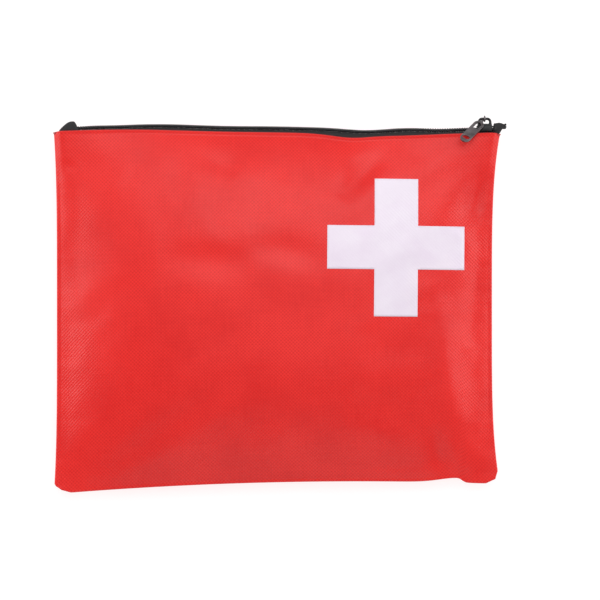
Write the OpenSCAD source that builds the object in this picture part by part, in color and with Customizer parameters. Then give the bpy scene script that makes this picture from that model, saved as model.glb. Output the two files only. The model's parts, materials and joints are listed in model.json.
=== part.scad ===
// First aid kit: a flat zip pouch of coated woven fabric with its usual contents.
// The pouch lies on its back panel. +X runs along the zip, +Y points from the bottom
// seam to the mouth, +Z is up. The origin is the middle of the flat rest face.

/* [Pouch] */
// Width between the side seams, at the corners
pouch_w = 232; // [226:1:240]
// Height from the bottom seam to the mouth edge
pouch_h = 184; // [182:1:190]
// Thickness over the contents
fill_t = 34; // [34:0.5:38]
// Height of the seam line above the rest face
seam_z = 11; // [11:0.5:12]
// Fabric thickness
fabric_t = 0.6; // [0.5:0.1:0.7]
// How far the side seams pull in between their corners
pull_side = 3; // [0:0.5:4]
// How far the bottom seam pulls in between its corners
pull_bottom = 4.5; // [0:0.5:5]

/* [Emblem] */
// Span of the equal-armed cross
cross_span = 71; // [60:1:73]
// Width of each arm
cross_arm = 22.5; // [18:0.5:24]
// Middle of the cross along the zip direction
cross_x = 61.5; // [60:0.5:64]
// Middle of the cross above the pouch's middle
cross_y = 32; // [24:0.5:34]

/* [Zip] */
// Half of the visible gap between the two panel edges
lip_h = 3.8; // [3.8:0.1:4.2]
// Width over both closed coils
coil_w = 4.2; // [4:0.1:4.4]
// Spacing of the coil's turns on one side
coil_pitch = 2; // [2:0.1:2.4]
// Slider length along the zip
slider_l = 8.6; // [8:0.1:9]
// Slider position when the pouch is shut
slider_x = 108; // [106:0.5:108]
// Length of the pull tab
tab_l = 20; // [16:0.5:21]
// Width of the pull tab
tab_w = 5.6; // [5.2:0.1:6]
// Thickness of the pull tab
tab_t = 1; // [0.8:0.1:1.1]

/* [Contents] */
// Diameter of each rolled bandage
roll_d = 20; // [16:0.5:20]
// Length of each rolled bandage
roll_l = 60; // [50:1:60]
// Outer diameter of the roll of fixing tape
tape_roll_d = 40; // [34:1:40]
// Width of the fixing tape
tape_roll_w = 12.5; // [10:0.5:12.5]
// Length of the closed scissors
scissors_l = 92; // [84:1:94]

/* [Hidden] */

half_w = pouch_w / 2;
half_h = pouch_h / 2;
rise = fill_t - fabric_t - seam_z;   // front crown above the seam line
margin = 0.985;                      // share of the half size inside the flat seam margin
plateau = 0.76;                      // share of the half size that rests flat
step_n = 24;                         // grid cells across the pouch
step_m = 18;                         // grid cells up the pouch
slit = 0.5;                          // gap round the moving mouth flap
flap_x = [-84, 24];                  // sides of the mouth flap
flap_y = -70;                        // its fold line
round_fn = 48;

tape_t = 0.6;
tape_y = half_h + 0.1;               // the zip's tapes stand just past the panel edges
coil_y = tape_y + tape_t;            // inner face of the coils
coil_t = 1.8;
zip_end = [-112, 115];               // ends of the coils
tape_end = [-112, 119];              // ends of the tapes
bar_w = coil_w / 2 - 1;
wedge_t = 0.5;                       // the slider's wedge
wedge_path = 0.7;                    // width kept clear for it between the coils

plate_t = 0.8;
slider_w = 6;
inner_w = 5;                         // width of the slider's inner plate
slot_y = tape_y - 0.3;               // outer face of the slider's inner plate
roof_y = coil_y + coil_t + 0.3;      // inner face of its outer plate
bridge_r = 0.6;
bridge_w = 6;                        // distance between the bridge's two legs
bridge_h = 3.6;                      // bar height above the outer plate
bridge_bend = 1.6;
bar_y = roof_y + plate_t + bridge_h;
tab_lean = 41;                       // the tab leans on the slider's edge at this angle
tab_turn = 37;                       // and slants this far across it

floor_z = fabric_t + 1.2;            // packs lie on the leaflet
gap = 0.2;

// ---- Shape of the filled pouch ------------------------------------------------

function half_width(y) = half_w - pull_side * (1 - pow(y / half_h, 2));
function bottom_y(x) = -half_h + pull_bottom * (1 - pow(x / half_w, 2));
function across(x, y) = min(1, abs(x) / half_width(y));
function along(x, y) = min(1, max(-1, 2 * (y - bottom_y(x)) / (half_h - bottom_y(x)) - 1));

// 1 in the middle of the pouch, 0 at the seam margin
function crown(s) = max(0, 1 - pow(abs(s) / margin, 3));
// 0 where the back rests flat, 1 at the seam margin
function turn_up(s) = min(1, pow(max(0, abs(s) - plateau) / (margin - plateau), 1.5));
// 0 at the mouth's corners, 1 along the zip
function mouth_gap(x, y) = min(1, (1 - across(x, y)) / 0.025) * pow(max(0, along(x, y)), 4);

// Inner faces of the two panels
function front_z(x, y) =
    seam_z + rise * crown(across(x, y)) * crown(along(x, y)) + lip_h * mouth_gap(x, y);
function back_z(x, y) =
    fabric_t
    + (seam_z - fabric_t) * (1 - (1 - turn_up(across(x, y))) * (1 - turn_up(along(x, y))))
    - lip_h * mouth_gap(x, y) * turn_up(along(x, y));

// Plan position of the grid point that lies u across and v up, both -1 to 1
function plan(u, v) =
    let (x = u * half_width(v * half_h))
    [x, bottom_y(x) + (v + 1) / 2 * (half_h - bottom_y(x))];

function span(a, b, n) = [for (i = [0:n]) a + (b - a) * i / n];

// ---- General modules ------------------------------------------------------------

// A closed shell over the kept cells of a grid. at(i, j) gives a point's plan position.
module shell(nx, ny, at, low, high, keep) {
    points = [for (top = [0, 1], i = [0:nx], j = [0:ny])
        let (p = at(i, j)) [p[0], p[1], top == 1 ? high(p[0], p[1]) : low(p[0], p[1])]];
    function id(i, j, top) = top * (nx + 1) * (ny + 1) + i * (ny + 1) + j;
    function kept(i, j) = i >= 0 && i < nx && j >= 0 && j < ny && keep(i, j);
    function wall(a, b) = [
        [id(a[0], a[1], 0), id(a[0], a[1], 1), id(b[0], b[1], 1)],
        [id(a[0], a[1], 0), id(b[0], b[1], 1), id(b[0], b[1], 0)],
    ];
    faces = [for (i = [0:nx - 1], j = [0:ny - 1]) if (kept(i, j)) each concat(
        [
            [id(i, j, 1), id(i, j + 1, 1), id(i + 1, j + 1, 1)],
            [id(i, j, 1), id(i + 1, j + 1, 1), id(i + 1, j, 1)],
            [id(i, j, 0), id(i + 1, j + 1, 0), id(i, j + 1, 0)],
            [id(i, j, 0), id(i + 1, j, 0), id(i + 1, j + 1, 0)],
        ],
        kept(i, j - 1) ? [] : wall([i, j], [i + 1, j]),
        kept(i + 1, j) ? [] : wall([i + 1, j], [i + 1, j + 1]),
        kept(i, j + 1) ? [] : wall([i + 1, j + 1], [i, j + 1]),
        kept(i - 1, j) ? [] : wall([i, j + 1], [i, j])
    )];
    polyhedron(points = points, faces = faces, convexity = 6);
}

// A flat pack with rounded corners, its lower corner at the given place
module pack(at, size, r = 3) {
    translate(at) linear_extrude(size[2]) {
        translate([r, 0]) square([size[0] - 2 * r, size[1]]);
        translate([0, r]) square([size[0], size[1] - 2 * r]);
        for (x = [r, size[0] - r], y = [r, size[1] - r])
            translate([x, y]) circle(r, $fn = round_fn);
    }
}

// A box between two corners
module block(a, b) {
    translate(a) cube(b - a);
}

// ---- Panels -----------------------------------------------------------------------

// Grid lines across: evenly spaced ones, and one on each side of the flap's slits
flap_u = [for (x = flap_x) x / half_w];
slit_u = slit / half_w;
flap_v = flap_y / half_h;
slit_v = slit / half_h;
corner_u = 0.975;                    // where the mouth starts to close towards a corner
cols = concat(
    [-1],
    span(-corner_u, flap_u[0] - slit_u, 4),
    span(flap_u[0], flap_u[1], 10),
    span(flap_u[1] + slit_u, corner_u, 8),
    [1]
);
rows = concat(span(-1, flap_v - slit_v, 3), span(flap_v, 1, step_m - 3));
flap_cols = [6, 15];                 // first and last cell column of the flap
flap_row = 4;                        // its first cell row

module front_shell(keep) {
    shell(
        len(cols) - 1, len(rows) - 1,
        function (i, j) plan(cols[i], rows[j]),
        function (x, y) front_z(x, y),
        function (x, y) front_z(x, y) + fabric_t,
        keep
    );
}

// The slit is the column or row of cells just outside the flap
module front_panel() {
    color("red") front_shell(
        function (i, j) i < flap_cols[0] - 1 || i > flap_cols[1] + 1 || j < flap_row - 1
    );
}

module front_panel_mouth() {
    color("red") front_shell(
        function (i, j) i >= flap_cols[0] && i <= flap_cols[1] && j >= flap_row
    );
}

module back_panel() {
    lines_u = concat(
        [-1],
        span(-corner_u, -plateau, 5),
        span(-plateau / 2, plateau / 2, 2),
        span(plateau, corner_u, 5),
        [1]
    );
    lines_v = concat(span(-1, -plateau, 5), span(-plateau / 2, plateau / 2, 2), span(plateau, 1, 5));
    pressed = 0.2;                   // the rest face is pressed flat by this much
    color("red") difference() {
        shell(
            len(lines_u) - 1, len(lines_v) - 1,
            function (i, j) plan(lines_u[i], lines_v[j]),
            function (x, y) back_z(x, y) - fabric_t - pressed,
            function (x, y) back_z(x, y),
            function (i, j) true
        );
        translate([-half_w, -half_h, -1]) cube([pouch_w, pouch_h, 1]);
    }
}

// White film bonded to the front panel
module cross_emblem() {
    a = cross_arm / 2;
    s = cross_span / 2;
    lines = concat(span(-s, -a, 4), span(-a / 3, a / 3, 1), span(a, s, 4));
    n = len(lines) - 1;
    function middle(i) = i >= 4 && i <= 6;
    color("white") shell(
        n, n,
        function (i, j) [cross_x + lines[i], cross_y + lines[j]],
        function (x, y) front_z(x, y) + fabric_t + 0.15,
        function (x, y) front_z(x, y) + fabric_t + 0.4,
        function (i, j) middle(i) || middle(j)
    );
}

// ---- Inside seams -------------------------------------------------------------------

bind_in = 5;                         // from the seam line to the binding
bind_w = 6;
bind_t = 0.8;
thread_r = 0.3;

// A tape folded over the raw edges, just inside a side seam
module side_binding(side) {
    n = 10;
    ys = span(-half_h + 14, half_h - 14, n);
    color("darkred") shell(
        1, n,
        function (i, j) [
            side * (half_width(ys[j]) - bind_in - bind_w * (side > 0 ? 1 - i : i)),
            ys[j],
        ],
        function (x, y) seam_z - bind_t / 2,
        function (x, y) seam_z + bind_t / 2,
        function (i, j) true
    );
}

module seam_binding_left() { side_binding(-1); }
module seam_binding_right() { side_binding(1); }

module seam_binding_bottom() {
    n = 12;
    xs = span(-half_w + 16, half_w - 16, n);
    color("darkred") shell(
        n, 1,
        function (i, j) [xs[i], bottom_y(xs[i]) + bind_in + bind_w * j],
        function (x, y) seam_z - bind_t / 2,
        function (x, y) seam_z + bind_t / 2,
        function (i, j) true
    );
}

// One bead of lockstitch thread on each binding
module seam_thread() {
    z = seam_z + bind_t / 2 + thread_r;
    inset = bind_in + bind_w / 2 + pull_side;
    color("firebrick") {
        for (side = [-1, 1])
            translate([side * (half_w - inset), -half_h + 30, z]) rotate([-90, 0, 0])
                cylinder(h = pouch_h - 60, r = thread_r, $fn = 16);
        translate([-half_w + 50, bottom_y(0) + bind_in + 1.5, z]) rotate([0, 90, 0])
            cylinder(h = pouch_w - 100, r = thread_r, $fn = 16);
    }
}

// ---- Zip ------------------------------------------------------------------------------

hem_in = 7;                          // tape sewn under the panel edge
hem_z = lip_h - 0.2 - tape_t;
hem_end = half_w - 16;               // the hems stop short of the corners

// One side's tape between two places along the zip: the part that shows, and the hem
module zip_tape(side, from, to) {
    edge = coil_w / 2 - 0.5;
    low = side > 0 ? edge : -hem_z - tape_t;
    high = side > 0 ? hem_z + tape_t : -edge;
    hem_low = side > 0 ? hem_z : -hem_z - tape_t;
    union() {
        block([from, tape_y, seam_z + low], [to, tape_y + tape_t, seam_z + high]);
        block(
            [max(from, -hem_end), half_h - hem_in, seam_z + hem_low],
            [min(to, hem_end), tape_y + tape_t, seam_z + hem_low + tape_t]
        );
    }
}

module zip_tape_back() {
    color("black") zip_tape(-1, tape_end[0], tape_end[1]);
}
module zip_tape_front() {
    color("black") zip_tape(1, flap_x[0], flap_x[1]);
}
module zip_tape_front_ends() {
    color("black") {
        zip_tape(1, tape_end[0], flap_x[0] - slit);
        zip_tape(1, flap_x[1] + slit, tape_end[1]);
    }
}

// Topstitching that holds the hems, one bead along each panel's mouth edge
module zip_stitching() {
    inset = 3;
    z = seam_z - hem_z + thread_r;
    color("firebrick") translate([-half_w + 12, half_h - inset, z]) rotate([0, 90, 0])
        cylinder(h = pouch_w - 24, r = thread_r, $fn = 16);
}

// One side's coil between two places: its edge bar, and a turn every coil_pitch.
// These turns don't bend, so each side's stop at the path of the slider's wedge.
module zip_coil(side, from, to, closed_to) {
    turn_w = coil_pitch * 0.6;
    first = ceil(from / coil_pitch + 1) * coil_pitch;
    color("black") translate([0, coil_y, seam_z]) mirror([0, 0, side > 0 ? 0 : 1]) union() {
        translate([from, 0, 1]) cube([to - from, coil_t, bar_w]);
        for (x = [first:coil_pitch:closed_to - coil_pitch])
            translate([x, 0, wedge_path / 2]) cube([turn_w, coil_t, 1.1 - wedge_path / 2]);
    }
}

closed_end = slider_x + 1.5;         // the turns are parted past the slider's wedge
module zip_coil_back() { zip_coil(-1, zip_end[0], zip_end[1], closed_end); }
module zip_coil_front() { zip_coil(1, flap_x[0], flap_x[1], flap_x[1]); }
module zip_coil_front_ends() {
    zip_coil(1, zip_end[0], flap_x[0] - slit, flap_x[0] - slit);
    zip_coil(1, flap_x[1] + slit, zip_end[1], closed_end);
}

// A crimp on each coil's end, where the shut slider stops
module zip_top_stops() {
    color("dimgray") for (side = [-1, 1])
        translate([slider_x + slider_l / 2 + 0.5, coil_y, seam_z])
            mirror([0, 0, side > 0 ? 0 : 1]) difference() {
                translate([0, 0, 0.5]) cube([1.6, coil_t + 0.6, bar_w + 1]);
                translate([-1, -1, 1]) cube([4, coil_t + 1, bar_w]);
            }
}

// A crimp across both coils, where the open slider stops
module zip_bottom_stop() {
    x = zip_end[0] + 0.5;
    w = coil_w / 2;
    color("dimgray") difference() {
        block([x, tape_y + tape_t, seam_z - w - 0.5], [x + 2, coil_y + coil_t + 0.5, seam_z + w + 0.5]);
        block([x - 1, coil_y - 1, seam_z - w], [x + 3, coil_y + coil_t, seam_z + w]);
    }
}

// Two plates joined by the wedge that parts the coils, with flanges along the outer one
module zip_slider() {
    l = slider_l / 2;
    w = slider_w / 2;
    flange = 0.7;
    bevel = 1;
    foot = tape_y + tape_t + 0.4;
    top = roof_y + plate_t;
    color("dimgray") translate([slider_x, 0, seam_z]) union() {
        translate([-l, 0, 0]) rotate([90, 0, 90]) linear_extrude(slider_l) difference() {
            polygon([
                [foot, -w], [top - bevel, -w], [top, bevel - w],
                [top, w - bevel], [top - bevel, w], [foot, w],
            ]);
            translate([foot - 1, flange - w]) square([roof_y - foot + 1, slider_w - 2 * flange]);
        }
        block([-l, slot_y - plate_t, -inner_w / 2], [l, slot_y, inner_w / 2]);
        block([l - 3.5, slot_y - 0.1, -wedge_t / 2], [l - 0.5, roof_y + 0.1, wedge_t / 2]);
    }
}

// The arch over the slider that the pull tab hangs on
module slider_bridge() {
    x = bridge_w / 2;
    foot = roof_y + plate_t;
    rest = bridge_h - bridge_bend;
    color("dimgray") translate([slider_x, foot, seam_z]) union() {
        for (side = [-1, 1]) {
            translate([side * x, 0, 0]) rotate([-90, 0, 0])
                cylinder(h = rest, r = bridge_r, $fn = round_fn);
            translate([side * (x - bridge_bend), rest, 0]) rotate([0, 0, side > 0 ? 0 : 90])
                rotate_extrude(angle = 90, $fn = round_fn)
                    translate([bridge_bend, 0]) circle(bridge_r, $fn = round_fn);
        }
        translate([-(x - bridge_bend), bridge_h, 0]) rotate([0, 90, 0])
            cylinder(h = 2 * (x - bridge_bend), r = bridge_r, $fn = round_fn);
    }
}

// A flat tab with two eyes, and the small ring that hangs it on the bridge's bar
module pull_tab() {
    ring_r = 1.35;
    wire_r = 0.5;
    head = 5.6;                      // from the bar to the middle of the tab's round head
    color("dimgray") translate([slider_x, bar_y, seam_z]) rotate([180 - tab_lean, 0, 0]) union() {
        rotate([0, 90, 0]) rotate_extrude($fn = round_fn)
            translate([ring_r, 0]) circle(wire_r, $fn = round_fn);
        translate([0, 0, -tab_t / 2]) linear_extrude(tab_t) rotate(90 + tab_turn) difference() {
            union() {
                translate([ring_r, -wire_r]) square([head - ring_r, 2 * wire_r]);
                slot(head, tab_l - tab_w / 2 - head, tab_w);
            }
            slot(head, 2, tab_w - 2.6);
            translate([tab_l - tab_w / 2 - 0.4, -0.9]) rotate(90) slot(0, 1.8, 2.2);
        }
    }
}

// A slot with round ends, from x on, of the given length between its end centres
module slot(x, length, width) {
    translate([x, -width / 2]) square([length, width]);
    for (end = [x, x + length]) translate([end, 0]) circle(width / 2, $fn = round_fn);
}

// ---- Contents ---------------------------------------------------------------------------

module roll(x, y, length) {
    translate([x, y, floor_z + roll_d / 2]) rotate([0, 90, 0])
        cylinder(h = length, d = roll_d, $fn = 64);
}

rolls_x = -84;
module gauze_roll_lower() { color("ivory") roll(rolls_x, -40, roll_l); }
module gauze_roll_upper() { color("ivory") roll(rolls_x, -40 + roll_d + 1.5, roll_l); }
module cohesive_roll() { color("steelblue") roll(rolls_x + 4, -40 + 2 * (roll_d + 1.5), roll_l - 10); }

spool_at = [-58, 43, floor_z];
spool_r = 13;
module tape_spool() {
    color("white") translate(spool_at) difference() {
        cylinder(h = tape_roll_w, r = spool_r, $fn = 64);
        translate([0, 0, -1]) cylinder(h = tape_roll_w + 2, r = spool_r - 1.5, $fn = 64);
    }
}
module fixing_tape() {
    color("ivory") translate(spool_at) difference() {
        cylinder(h = tape_roll_w, d = tape_roll_d, $fn = 64);
        translate([0, 0, -1]) cylinder(h = tape_roll_w + 2, r = spool_r, $fn = 64);
    }
}

blanket_t = 9;
bandage_t = 8;
compress_t = 1.8;
bandage_z = floor_z + blanket_t + gap;
compress_z = bandage_z + bandage_t + gap;
module rescue_blanket() { color("silver") pack([-22, -60, floor_z], [105, 78, blanket_t], 4); }
module triangular_bandage() { color("white") pack([-18, -54, bandage_z], [95, 66, bandage_t], 4); }
module compress_packs() {
    color("white") for (i = [0:2])
        pack([-12, -50, compress_z + i * (compress_t + gap / 2)], [75, 62, compress_t], 2);
}

gloves_t = 8;
plaster_z = floor_z + gloves_t + gap;
plaster_t = 5;
module gloves_pack() { color("skyblue") pack([-32, 23, floor_z], [72, 41, gloves_t], 4); }
module plaster_pack() { color("bisque") pack([-32, 26, plaster_z], [76, 34, plaster_t], 2); }
module wipe_sachets() {
    sachet_t = 1.5;
    color("aliceblue") for (i = [0:2])
        pack([44, 23, floor_z + i * (sachet_t + gap / 2)], [40, 39, sachet_t], 1);
}
module leaflet() { color("white") block([-74, -56, fabric_t + 0.2], [74, 49, fabric_t + 1]); }

// Two sprung arms that meet at the closed end
module tweezers() {
    length = 80;
    arm_t = 1.4;
    spread = 9;
    color("silver") translate([-35, 42, plaster_z + plaster_t + gap]) linear_extrude(4) {
        polygon([
            [0, 1.6], [length * 0.6, spread / 2], [length, 1.1],
            [length, 0.6], [length * 0.6, spread / 2 - arm_t], [6, 0],
            [length * 0.6, arm_t - spread / 2], [length, -0.6],
            [length, -1.1], [length * 0.6, -spread / 2], [0, -1.6],
        ]);
    }
}

// ---- Scissors ----------------------------------------------------------------------------

pivot = [2, -6];
blade_t = 1.3;
blade_z = compress_z + 3 * (compress_t + gap / 2) + gap;
rivet_r = 1.75;
rivet_run = 0.05;                    // running clearance of the upper blade
blade_l = scissors_l * 0.48;
grip_r = 9;                          // outer radius of a finger ring
grip_x = -scissors_l * 0.52 + grip_r;
grip_y = grip_r + 1;
tang_x = grip_x + grip_r - 1;        // the tang ends inside the ring's wall
tang_l = 4;
tang_w = 3;

// Outline of one blade with its tang, pointing along +X from the pivot; side picks the hand
module blade_outline(side) {
    polygon([
        [blade_l, -side * 0.5], [blade_l - 4, side * 1.8], [4, side * 4.2], [-5, side * 3.2],
        [tang_x + tang_l, side * grip_y], [tang_x, side * grip_y],
        [tang_x, side * (grip_y - tang_w)], [tang_x + tang_l, side * (grip_y - tang_w)],
        [-6, -side * 1.5], [4, -side * 3],
    ]);
}

module scissor_half(side, z, hole_r) {
    color("silver") translate([pivot[0], pivot[1], z]) linear_extrude(blade_t) difference() {
        blade_outline(side);
        circle(hole_r, $fn = round_fn);
    }
}

module scissor_grip(side, z) {
    color("orangered") translate([pivot[0] + grip_x, pivot[1] + side * grip_y, z])
        mirror([0, side > 0 ? 0 : 1, 0]) difference() {
            cylinder(h = blade_t, r = grip_r, $fn = 64);
            translate([0, 0, -1]) cylinder(h = blade_t + 2, r = grip_r - 2.4, $fn = 64);
            translate([grip_r - 1, -tang_w, -1]) cube([tang_l, tang_w, blade_t + 2]);
        }
}

upper_z = blade_z + blade_t + 0.05;
module scissor_blade_lower() { scissor_half(1, blade_z, rivet_r); }
module scissor_blade_upper() { scissor_half(-1, upper_z, rivet_r + rivet_run); }
module scissor_grip_lower() { scissor_grip(1, blade_z); }
module scissor_grip_upper() { scissor_grip(-1, upper_z); }

module scissor_rivet() {
    head_r = 3;
    head_t = 0.5;
    color("gray") translate([pivot[0], pivot[1], blade_z]) union() {
        cylinder(h = upper_z + blade_t - blade_z + 0.05, r = rivet_r, $fn = round_fn);
        translate([0, 0, upper_z + blade_t - blade_z + 0.05])
            cylinder(h = head_t, r = head_r, $fn = round_fn);
    }
}

back_panel();
front_panel();
front_panel_mouth();
cross_emblem();
seam_binding_left();
seam_binding_right();
seam_binding_bottom();
seam_thread();
zip_tape_back();
zip_tape_front();
zip_tape_front_ends();
zip_stitching();
zip_coil_back();
zip_coil_front();
zip_coil_front_ends();
zip_top_stops();
zip_bottom_stop();
zip_slider();
slider_bridge();
pull_tab();
gauze_roll_lower();
gauze_roll_upper();
cohesive_roll();
tape_spool();
fixing_tape();
rescue_blanket();
triangular_bandage();
compress_packs();
gloves_pack();
plaster_pack();
wipe_sachets();
tweezers();
leaflet();
scissor_blade_lower();
scissor_grip_lower();
scissor_blade_upper();
scissor_grip_upper();
scissor_rivet();
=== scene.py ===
"""First aid kit: the visual model of the zip pouch and its contents, built on the CAD frame."""

import itertools
import json
import math

import bmesh
import bpy
import numpy as np
from mathutils import Matrix, Vector, noise
from mathutils.bvhtree import BVHTree

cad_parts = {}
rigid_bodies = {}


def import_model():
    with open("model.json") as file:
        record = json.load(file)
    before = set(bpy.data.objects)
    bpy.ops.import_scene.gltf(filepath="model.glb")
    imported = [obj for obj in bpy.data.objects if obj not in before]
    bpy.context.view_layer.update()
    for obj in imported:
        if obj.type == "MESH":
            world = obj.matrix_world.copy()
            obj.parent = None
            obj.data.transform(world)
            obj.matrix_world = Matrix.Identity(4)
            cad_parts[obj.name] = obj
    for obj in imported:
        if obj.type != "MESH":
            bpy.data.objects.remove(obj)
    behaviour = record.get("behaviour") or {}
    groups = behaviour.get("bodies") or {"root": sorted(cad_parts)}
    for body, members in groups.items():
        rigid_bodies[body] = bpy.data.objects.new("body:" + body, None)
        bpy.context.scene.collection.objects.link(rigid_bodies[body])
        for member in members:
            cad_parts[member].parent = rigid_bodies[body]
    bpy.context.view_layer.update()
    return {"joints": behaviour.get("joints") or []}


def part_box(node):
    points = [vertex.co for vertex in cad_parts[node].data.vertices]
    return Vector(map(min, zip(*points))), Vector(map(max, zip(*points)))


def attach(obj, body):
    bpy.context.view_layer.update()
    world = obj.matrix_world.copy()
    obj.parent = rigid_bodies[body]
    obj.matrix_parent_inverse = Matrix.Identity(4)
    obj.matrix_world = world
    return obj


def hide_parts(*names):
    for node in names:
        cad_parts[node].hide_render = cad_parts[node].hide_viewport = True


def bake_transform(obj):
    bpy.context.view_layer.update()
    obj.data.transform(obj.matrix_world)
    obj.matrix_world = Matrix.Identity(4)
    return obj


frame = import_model()

MM = 0.001

# ---- Dimensions read from the frame ------------------------------------------------------

back_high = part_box("back_panel")[1]
front_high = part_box("front_panel")[1]
tape_low, tape_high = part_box("zip_tape_back")
coil_low, coil_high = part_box("zip_coil_back")
slider_low, slider_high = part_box("zip_slider")
bridge_low, bridge_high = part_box("slider_bridge")
cross_low, cross_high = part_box("cross_emblem")
joints = {j["name"]: j for j in frame["joints"]}

HALF_W = back_high.x
HALF_H = back_high.y
SEAM_Z = back_high.z
FABRIC = 0.6 * MM
RISE = front_high.z - SEAM_Z - FABRIC
CUT = (2 * HALF_W + 4 * MM, 2 * HALF_H + 7 * MM)   # each panel, laid flat
MARGIN = 0.985                                     # the crown ends at this share of the half size
PLATEAU = 0.76                                     # the back rests flat within this share
LIP = 3.8 * MM                                     # half of the gap between the mouth's edges
EDGE_R = 1.1 * MM                                  # the turned seam's rounding
HEM = 6 * MM                                       # fabric turned in along the mouth
PULL_LEFT = 1.6 * MM                               # how far the fill draws each seam in
PULL_RIGHT = 4.2 * MM
PULL_BOTTOM = 3.5 * MM
ROLL_R = 0.5 * MM                                  # the hem's fold along the mouth
MOUTH_Y = HALF_H - ROLL_R
# For each lower corner: the cut's reach along both edges, and how far its middle moves in
CORNERS = [
    (-1, (9 * MM, 4.5 * MM, 4.2 * MM, 2.0 * MM)),
    (1, (7.5 * MM, 7 * MM, 2.4 * MM, 2.6 * MM)),
]

TAPE_Y = tape_high.y - FABRIC                      # inner face of the zip's tapes
COIL_MID = (coil_low.y + coil_high.y) / 2
COIL_R = (coil_high.y - coil_low.y) / 2
PITCH = 1.27 * MM                                  # from turn to turn of a coil
WIRE_R = 0.315 * MM
COIL_OFF = 0.78 * MM                               # from the centre line to a coil's core
PARTING = 0.55 * MM                                # how far the slider parts each coil
SHUT_X = (slider_low.x + slider_high.x) / 2
TRAVEL = joints["slider_travel"]["range_m"][1]
BAR = Vector(joints["pull_tab_swing"]["pos_m"])
ROOT, FLAP = joints["mouth_open"]["parent"], joints["mouth_open"]["child"]


# ---- Curves of the filled pouch ----------------------------------------------------------

def bump(x, middle, width, height):
    """A bell of this height, in the units of height."""
    return height * np.exp(-(((x - middle) / width) ** 2))


def mouth_wave(x):
    """How far the panels' mouth edges wander from a straight line."""
    return (
        bump(x, -78 * MM, 42 * MM, 1.4 * MM)
        - bump(x, 38 * MM, 13 * MM, 1.5 * MM)
        - bump(x, 58 * MM, 36 * MM, 1.8 * MM)
    )


def zip_wave(x):
    """How far the coils wander from a straight line."""
    return (
        bump(x, -62 * MM, 33 * MM, 1.8 * MM)
        + bump(x, -95 * MM, 9 * MM, 0.35 * MM)
        + bump(x, -6 * MM, 26 * MM, 0.6 * MM)
        - bump(x, 46 * MM, 15 * MM, 1.3 * MM)
        - bump(x, 84 * MM, 11 * MM, 0.6 * MM)
    )


def bottom_line(x):
    """The bottom seam, lower at the left corner, with a pinch near the right one."""
    s = x / HALF_W
    level = -HALF_H - 1.3 * MM + 2.6 * MM * s
    pinch = bump(x, 94 * MM, np.where(x < 94 * MM, 13 * MM, 2.8 * MM), 2.4 * MM)
    return level + PULL_BOTTOM * (1 - s**2) + pinch


def plan(u, v):
    """Plan position of the point that lies u across and v up the pouch, both from -1 to 1."""
    pull = np.where(u < 0, PULL_LEFT, PULL_RIGHT)
    x = u * (HALF_W - pull * (1 - v**4))
    bottom = bottom_line(x)
    y = bottom + (v + 1) / 2 * (MOUTH_Y + mouth_wave(x) - bottom)
    for side, (along, up, pull_in, lift) in CORNERS:
        cut = np.clip(1 - (1 - side * u) * HALF_W / along - (v + 1) * HALF_H / up, 0, 1)
        x = x - side * pull_in * cut
        y = y + lift * cut
    return x, y


def crown(s):
    """Share of the full rise at s, from -1 to 1 across the panel."""
    return np.clip(1 - np.abs(s / MARGIN) ** 3, 0, 1)


def turn_up(s):
    """How far the back has left its flat rest at s, from -1 to 1 across the panel."""
    return np.clip((np.abs(s) - PLATEAU) / (MARGIN - PLATEAU), 0, 1) ** 1.5


def gap(u, v):
    """0 at the mouth's corners, 1 along the zip."""
    return np.clip((1 - np.abs(u)) / 0.03, 0, 1) * np.clip(v, 0, 1) ** 4


def edge_roll(u, v):
    """The seam's rounding: 0 on the seam line, EDGE_R a little way in."""
    inset = np.minimum((1 - np.abs(u)) * HALF_W, (v + 1) * HALF_H)
    inset = np.clip(inset / EDGE_R, 0, 1)
    return EDGE_R * np.sqrt(1 - (1 - inset) ** 2)


def front_height(u, v):
    """Height of the filled front without its folds."""
    rim = edge_roll(u, v) * (1 - 0.45 * gap(u, v))
    return SEAM_Z + rim + RISE * crown(u) * crown(v) + LIP * gap(u, v)


def back_height(u, v):
    """Height of the back, which rests on the ground and turns up to the seams."""
    flat = (1 - turn_up(u)) * (1 - turn_up(v))
    rim = edge_roll(u, v) * (1 - 0.45 * gap(u, v))
    height = SEAM_Z * (1 - flat) - rim - LIP * gap(u, v) * turn_up(v)
    return np.maximum(height, 0)


# ---- Mesh building -----------------------------------------------------------------------

def smoothstep(t):
    t = np.clip(t, 0, 1)
    return t * t * (3 - 2 * t)


def ripple(x, y, scale, seed=0.0):
    """Smooth noise from about -1 to 1 over a plane, for arrays."""
    flat = zip(np.ravel(x) / scale, np.ravel(y) / scale)
    values = [noise.noise(Vector((a + seed, b - seed, seed))) for a, b in flat]
    return np.reshape(values, np.shape(x))


def placed(name, data):
    """A new object that holds this data, in the scene."""
    made = bpy.data.objects.new(name, data)
    bpy.context.scene.collection.objects.link(made)
    return made


def evaluated(made):
    """The object as its modifiers leave it."""
    return made.evaluated_get(bpy.context.evaluated_depsgraph_get())


def face_outward(made):
    mesh = bmesh.new()
    mesh.from_mesh(made.data)
    bmesh.ops.recalc_face_normals(mesh, faces=mesh.faces)
    mesh.to_mesh(made.data)
    mesh.free()


def set_cut(made, points):
    """UV map "cut": where each vertex lies on the flat cut, in metres."""
    layer = made.data.uv_layers.new(name="cut")
    corners = np.array([loop.vertex_index for loop in made.data.loops])
    layer.data.foreach_set("uv", points[corners].astype(np.float32).ravel())


def grid_faces(n, m, wrap=False):
    """Quads over an n by m grid of points; wrap joins the last column to the first."""
    columns = m if wrap else m - 1
    return [
        (i * m + j, (i + 1) * m + j, (i + 1) * m + (j + 1) % m, i * m + (j + 1) % m)
        for i in range(n - 1)
        for j in range(columns)
    ]


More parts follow.
